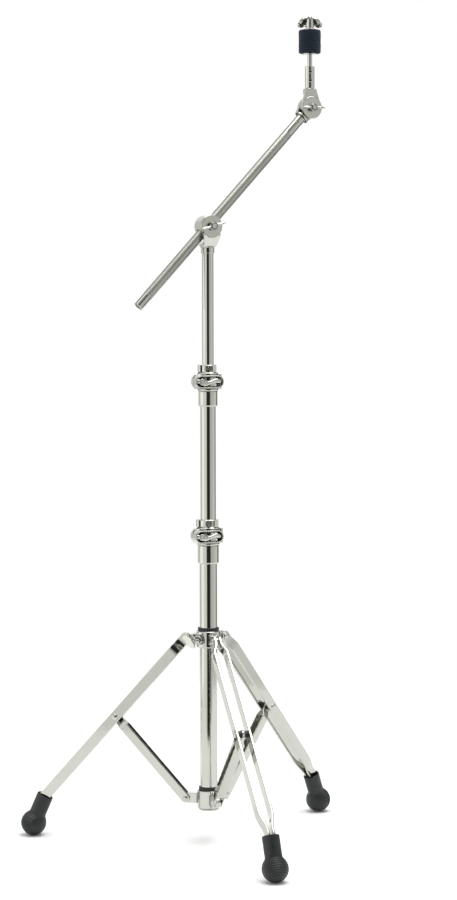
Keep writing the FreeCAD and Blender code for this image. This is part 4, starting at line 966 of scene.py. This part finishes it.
def boom():
    """Knurled tube with bright turned ends and a capped tail."""
    start = -BOOM_TAIL + BOOM_SMOOTH_LENGTH
    end = BOOM_HEAD - BOOM_SMOOTH_LENGTH
    rows = round((end - start) / KNURL_PITCH * 2)
    knurl = flat_grid("knurl", 2 * KNURL_DIAMONDS, rows, 2 * math.pi, mm(start), mm(end))
    run_tree(knurl, knurling_tree(KNURLED), Radius=mm(BOOM_R), Depth=mm(KNURL_DEPTH),
             Diamonds=float(KNURL_DIAMONDS), Pitch=mm((end - start) / rows * 2))
    knurl.data.transform(Matrix.Translation(mm(PIVOT)) @ turn("Y", 90 - BOOM_RISE))
    smooth_shaded(knurl.data)
    tail_cap = [(0, -BOOM_TAIL), (5.4, -BOOM_TAIL), (6.2, -BOOM_TAIL + 0.4),
                (BOOM_SMOOTH_R, -BOOM_TAIL + 0.5), (BOOM_SMOOTH_R, start),
                (BOOM_R - KNURL_DEPTH, start + 0.05), (0, start + 0.05)]
    tail = lathe("tail", tail_cap, BOOM_FRAME, 96, 0.45)
    head_cap = [(0, end - 0.05), (BOOM_R - KNURL_DEPTH, end - 0.05), (BOOM_SMOOTH_R, end),
                (BOOM_SMOOTH_R, BOOM_HEAD), (6.85, BOOM_HEAD), (0, BOOM_HEAD - 0.1)]
    head = lathe("head", head_cap, BOOM_FRAME, 96, 0.3)
    bm = bmesh.new()
    bm.from_mesh(knurl.data)
    bm.normal_update()
    for part in (tail, head):
        before = len(bm.faces)
        bm.from_mesh(part.data)
        bm.faces.ensure_lookup_table()
        for face in bm.faces[before:]:
            face.material_index = 1
            face.smooth = True
    mesh = bpy.data.meshes.new("boom_tube_knurled")
    bm.to_mesh(mesh)
    bm.free()
    for part in (knurl, tail, head):
        bpy.data.objects.remove(part)
    mesh.materials.append(KNURLED)
    mesh.materials.append(CHROME)
    tube = placed_object("boom_tube_knurled", mesh)
    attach(tube, BODY["boom_tube"])
    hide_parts("boom_tube")


# ---------------------------------------------------------------- felts
def felt_disc(name, node, seed, low_round, high_round):
    """Pressed wool disc: slightly bulged between its washers, with an uneven matted skin."""
    bottom, top = node_heights(node, TILTER.z)
    height = top - bottom
    outer = FELT_R
    inner = FELT_BORE_R
    quarter = [math.pi / 2 * k / 7 for k in range(8)]
    outline = [(inner, 0.25), (inner + 3, 0.15), (outer - low_round - 1, 0.12)]
    outline += [(outer - low_round * (1 - math.sin(a)), low_round * (1 - math.cos(a))) for a in quarter]
    outline += [(outer + 0.12 * math.sin(math.pi * k / 16),
                 low_round + (height - low_round - high_round) * k / 16) for k in range(1, 16)]
    outline += [(outer - high_round * (1 - math.cos(a)), height - high_round * (1 - math.sin(a)))
                for a in quarter]
    outline += [(outer - high_round - 1, height - 0.12), (inner + 3, height - 0.15), (inner, height - 0.25)]
    segments = 150
    random = np.random.default_rng(seed)
    waves = [(random.integers(2, 14), random.uniform(0, 6.28), random.uniform(0.02, 0.09)) for _ in range(9)]
    points = []
    for row, (radius, lift) in enumerate(outline):
        for k in range(segments):
            angle = 2 * math.pi * k / segments
            wobble = sum(size * math.sin(n * angle + phase + row * 0.35) for n, phase, size in waves)
            grow = radius + wobble * 0.5 * min((radius - inner) / 8, 1) + random.uniform(-0.05, 0.05)
            points.append((grow * math.cos(angle), grow * math.sin(angle), bottom + lift))
    return mesh_object(name, points, bands(len(outline), segments, ring=True), TILTER_FRAME)


def fuzz_tree(material):
    """Loose fibres that stand off a felt's skin."""
    tree, inside, outside = geometry_tree("fuzz", {"Per square metre": 500000.0, "Length": 0.0011})
    spots = add(tree, "GeometryNodeDistributePointsOnFaces",
                {"Mesh": inside.outputs["Geometry"], "Density": inside.outputs["Per square metre"],
                 "Seed": 7})
    strand = add(tree, "GeometryNodeCurveQuadraticBezier",
                 {"Resolution": 4, "Start": (0, 0, 0), "Middle": (0, 0, 0.6), "End": (0.5, 0.1, 1.0)})
    circle = add(tree, "GeometryNodeCurvePrimitiveCircle", {"Resolution": 3})
    circle.inputs["Radius"].default_value = 0.03
    thread = add(tree, "GeometryNodeCurveToMesh",
                 {"Curve": strand.outputs["Curve"], "Profile Curve": circle.outputs["Curve"],
                  "Fill Caps": True})
    spin = add(tree, "FunctionNodeRandomValue", {"Seed": 11}, data_type="FLOAT_VECTOR")
    spin.inputs[0].default_value = (-1.1, -1.1, 0.0)
    spin.inputs[1].default_value = (1.1, 1.1, 6.28)
    leaning = add(tree, "FunctionNodeRotateRotation", {"Rotation": spots.outputs["Rotation"],
                                                       "Rotate By": spin.outputs[0]}, rotation_space="LOCAL")
    size = add(tree, "FunctionNodeRandomValue", {"Seed": 5}, data_type="FLOAT")
    size.inputs[2].default_value = 0.35
    size.inputs[3].default_value = 1.0
    length = calc(tree, "MULTIPLY", size.outputs[1], inside.outputs["Length"])
    planted = add(tree, "GeometryNodeInstanceOnPoints",
                  {"Points": spots.outputs["Points"], "Instance": thread.outputs["Mesh"],
                   "Rotation": leaning.outputs["Rotation"], "Scale": length})
    return finished_tree(tree, planted.outputs["Instances"], material, outside)


def felts():
    tree = fuzz_tree(FELT)
    for node, seed, low_round, high_round in (("lower_felt", 3, 2.4, 0.8), ("upper_felt", 8, 0.8, 2.4)):
        disc = felt_disc(node + "_wool", node, seed, low_round, high_round)
        fuzz = placed_object(node + "_fuzz", disc.data.copy())
        run_tree(fuzz, tree, Length=0.0010)
        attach(fuzz, BODY[node])
        shown(disc, node, FELT)


# ---------------------------------------------------------------- studio
def colour_ramp(tree, factor, stops):
    """Levels of a faintly green grey at places from -1 to 1."""
    ramp = add(tree, "ShaderNodeValToRGB", {"Fac": factor})
    elements = ramp.color_ramp.elements
    while len(elements) < len(stops):
        elements.new(1.0)
    for element, (place, level) in zip(elements, stops):
        element.position = place / 2 + 0.5
        element.color = (level, level * 1.005, level * 0.98, 1)
    return ramp.outputs["Color"]


def studio_world():
    """A pale room with one dark gap for the tubes to mirror, and plain white behind."""
    world = bpy.data.worlds.new("studio")
    bpy.context.scene.world = world
    world.use_nodes = True
    tree = world.node_tree
    tree.nodes.clear()
    direction = add(tree, "ShaderNodeTexCoord").outputs["Generated"]
    towards_camera = add(tree, "ShaderNodeMapping", {"Vector": direction})
    towards_camera.inputs["Rotation"].default_value = (0, 0, math.radians(-(VIEW_AZIMUTH + 180)))
    round_room = add(tree, "ShaderNodeTexGradient", {"Vector": towards_camera.outputs["Vector"]},
                     gradient_type="RADIAL")
    stops = ((-180, 1.05), (-143, 1.05), (-138, 0.86), (-104, 0.86), (-97, 1.6), (-64, 1.6), (-54, 1.15),
             (-19, 1.05), (-15, 0.03), (25, 0.03), (29, 0.68), (58, 0.80), (112, 1.05), (118, 0.26),
             (148, 0.26), (154, 1.05), (180, 1.05))
    ramp = colour_ramp(tree, round_room.outputs["Fac"], [(angle / 180, level) for angle, level in stops])
    up = add(tree, "ShaderNodeSeparateXYZ", {"Vector": direction}).outputs["Z"]
    height = between(tree, up, -1.0, 1.0, 0.0, 1.0)
    tone = colour_ramp(tree, height, ((-1.0, 0.30), (-0.62, 0.22), (-0.40, 0.12), (0.50, 0.12), (0.58, 0.40),
                                      (0.80, 0.40), (0.86, 1.7), (1.0, 1.7)))
    share = colour_ramp(tree, height, ((-1.0, 1.0), (-0.40, 1.0), (-0.30, 0.0), (0.46, 0.0), (0.56, 1.0),
                                       (1.0, 1.0)))
    overhead = add(tree, "ShaderNodeMix", {"Factor": share}, data_type="RGBA")
    tree.links.new(ramp, overhead.inputs["A"])
    tree.links.new(tone, overhead.inputs["B"])
    lit = add(tree, "ShaderNodeBackground", {"Color": overhead.outputs["Result"], "Strength": 1.0})
    plain = add(tree, "ShaderNodeBackground", {"Color": (1, 1, 1, 1), "Strength": 1.0})
    seen = add(tree, "ShaderNodeLightPath").outputs["Is Camera Ray"]
    mix = add(tree, "ShaderNodeMixShader",
              {"Fac": seen, 1: lit.outputs["Background"], 2: plain.outputs["Background"]})
    add(tree, "ShaderNodeOutputWorld", {"Surface": mix.outputs["Shader"]})


def area_light(name, place, aim, size, power):
    light = bpy.data.lights.new(name, "AREA")
    light.shape = "RECTANGLE"
    light.size = size[0]
    light.size_y = size[1]
    light.energy = power
    obj = bpy.data.objects.new(name, light)
    obj.location = place
    obj.rotation_euler = (Vector(aim) - Vector(place)).to_track_quat("-Z", "Y").to_euler()
    bpy.context.scene.collection.objects.link(obj)


def studio_floor():
    """Pale ground, longest away from the camera."""
    place = turn("Z", VIEW_AZIMUTH)
    floor = mesh_object("floor", [(-900, -1500, 0), (1600, -1500, 0), (1600, 1500, 0), (-900, 1500, 0)],
                        [(0, 1, 2, 3)], place)
    finish = Finish("pale_floor", Metallic=0.0, Roughness=0.6, Specular_IOR_Level=0.2)
    finish.colour((0.93, 0.935, 0.94), (0.955, 0.96, 0.965), noise(finish.tree, finish.place, 2.0))
    floor.data.materials.append(finish.material)


def camera():
    data = bpy.data.cameras.new("camera")
    data.sensor_fit = "VERTICAL"
    data.sensor_height = 36.0
    data.lens = LENS
    data.clip_end = 100
    obj = bpy.data.objects.new("camera", data)
    azimuth = math.radians(VIEW_AZIMUTH)
    down = math.radians(VIEW_DOWN)
    ahead = Vector((math.cos(down) * math.cos(azimuth), math.cos(down) * math.sin(azimuth), -math.sin(down)))
    turned_camera = ahead.to_track_quat("-Z", "Y").to_matrix().to_4x4() @ turn("Z", VIEW_ROLL)
    obj.matrix_world = Matrix.Translation(CAMERA_PLACE) @ turned_camera
    bpy.context.scene.collection.objects.link(obj)
    bpy.context.scene.camera = obj


# ---------------------------------------------------------------- everything
camera()
studio_world()
area_light("overhead_softbox", (0.5, -0.6, 4.2), (0, 0, 0), (3.0, 3.0), 120)
studio_floor()
bpy.context.scene.view_settings.view_transform = "Standard"

castings()
lever_clamps()
wing_nut("holder_wing_nut", "holder_nut_turn", bolt_r=3.95, hub_r=7.0, crown_r=5.0, half=21.0, angle=-16.5)
wing_nut("tilter_wing_nut", "tilter_nut_turn", bolt_r=3.5, hub_r=6.4, crown_r=4.6, half=20.0, angle=0.0)
top_nut()
stop_screws()
legs()
turned_pieces()
boom()
felts()
for node, obj in frame["nodes"].items():
    obj.data.materials.clear()
    obj.data.materials.append(SLOT_FINISH[SLOT[node]])
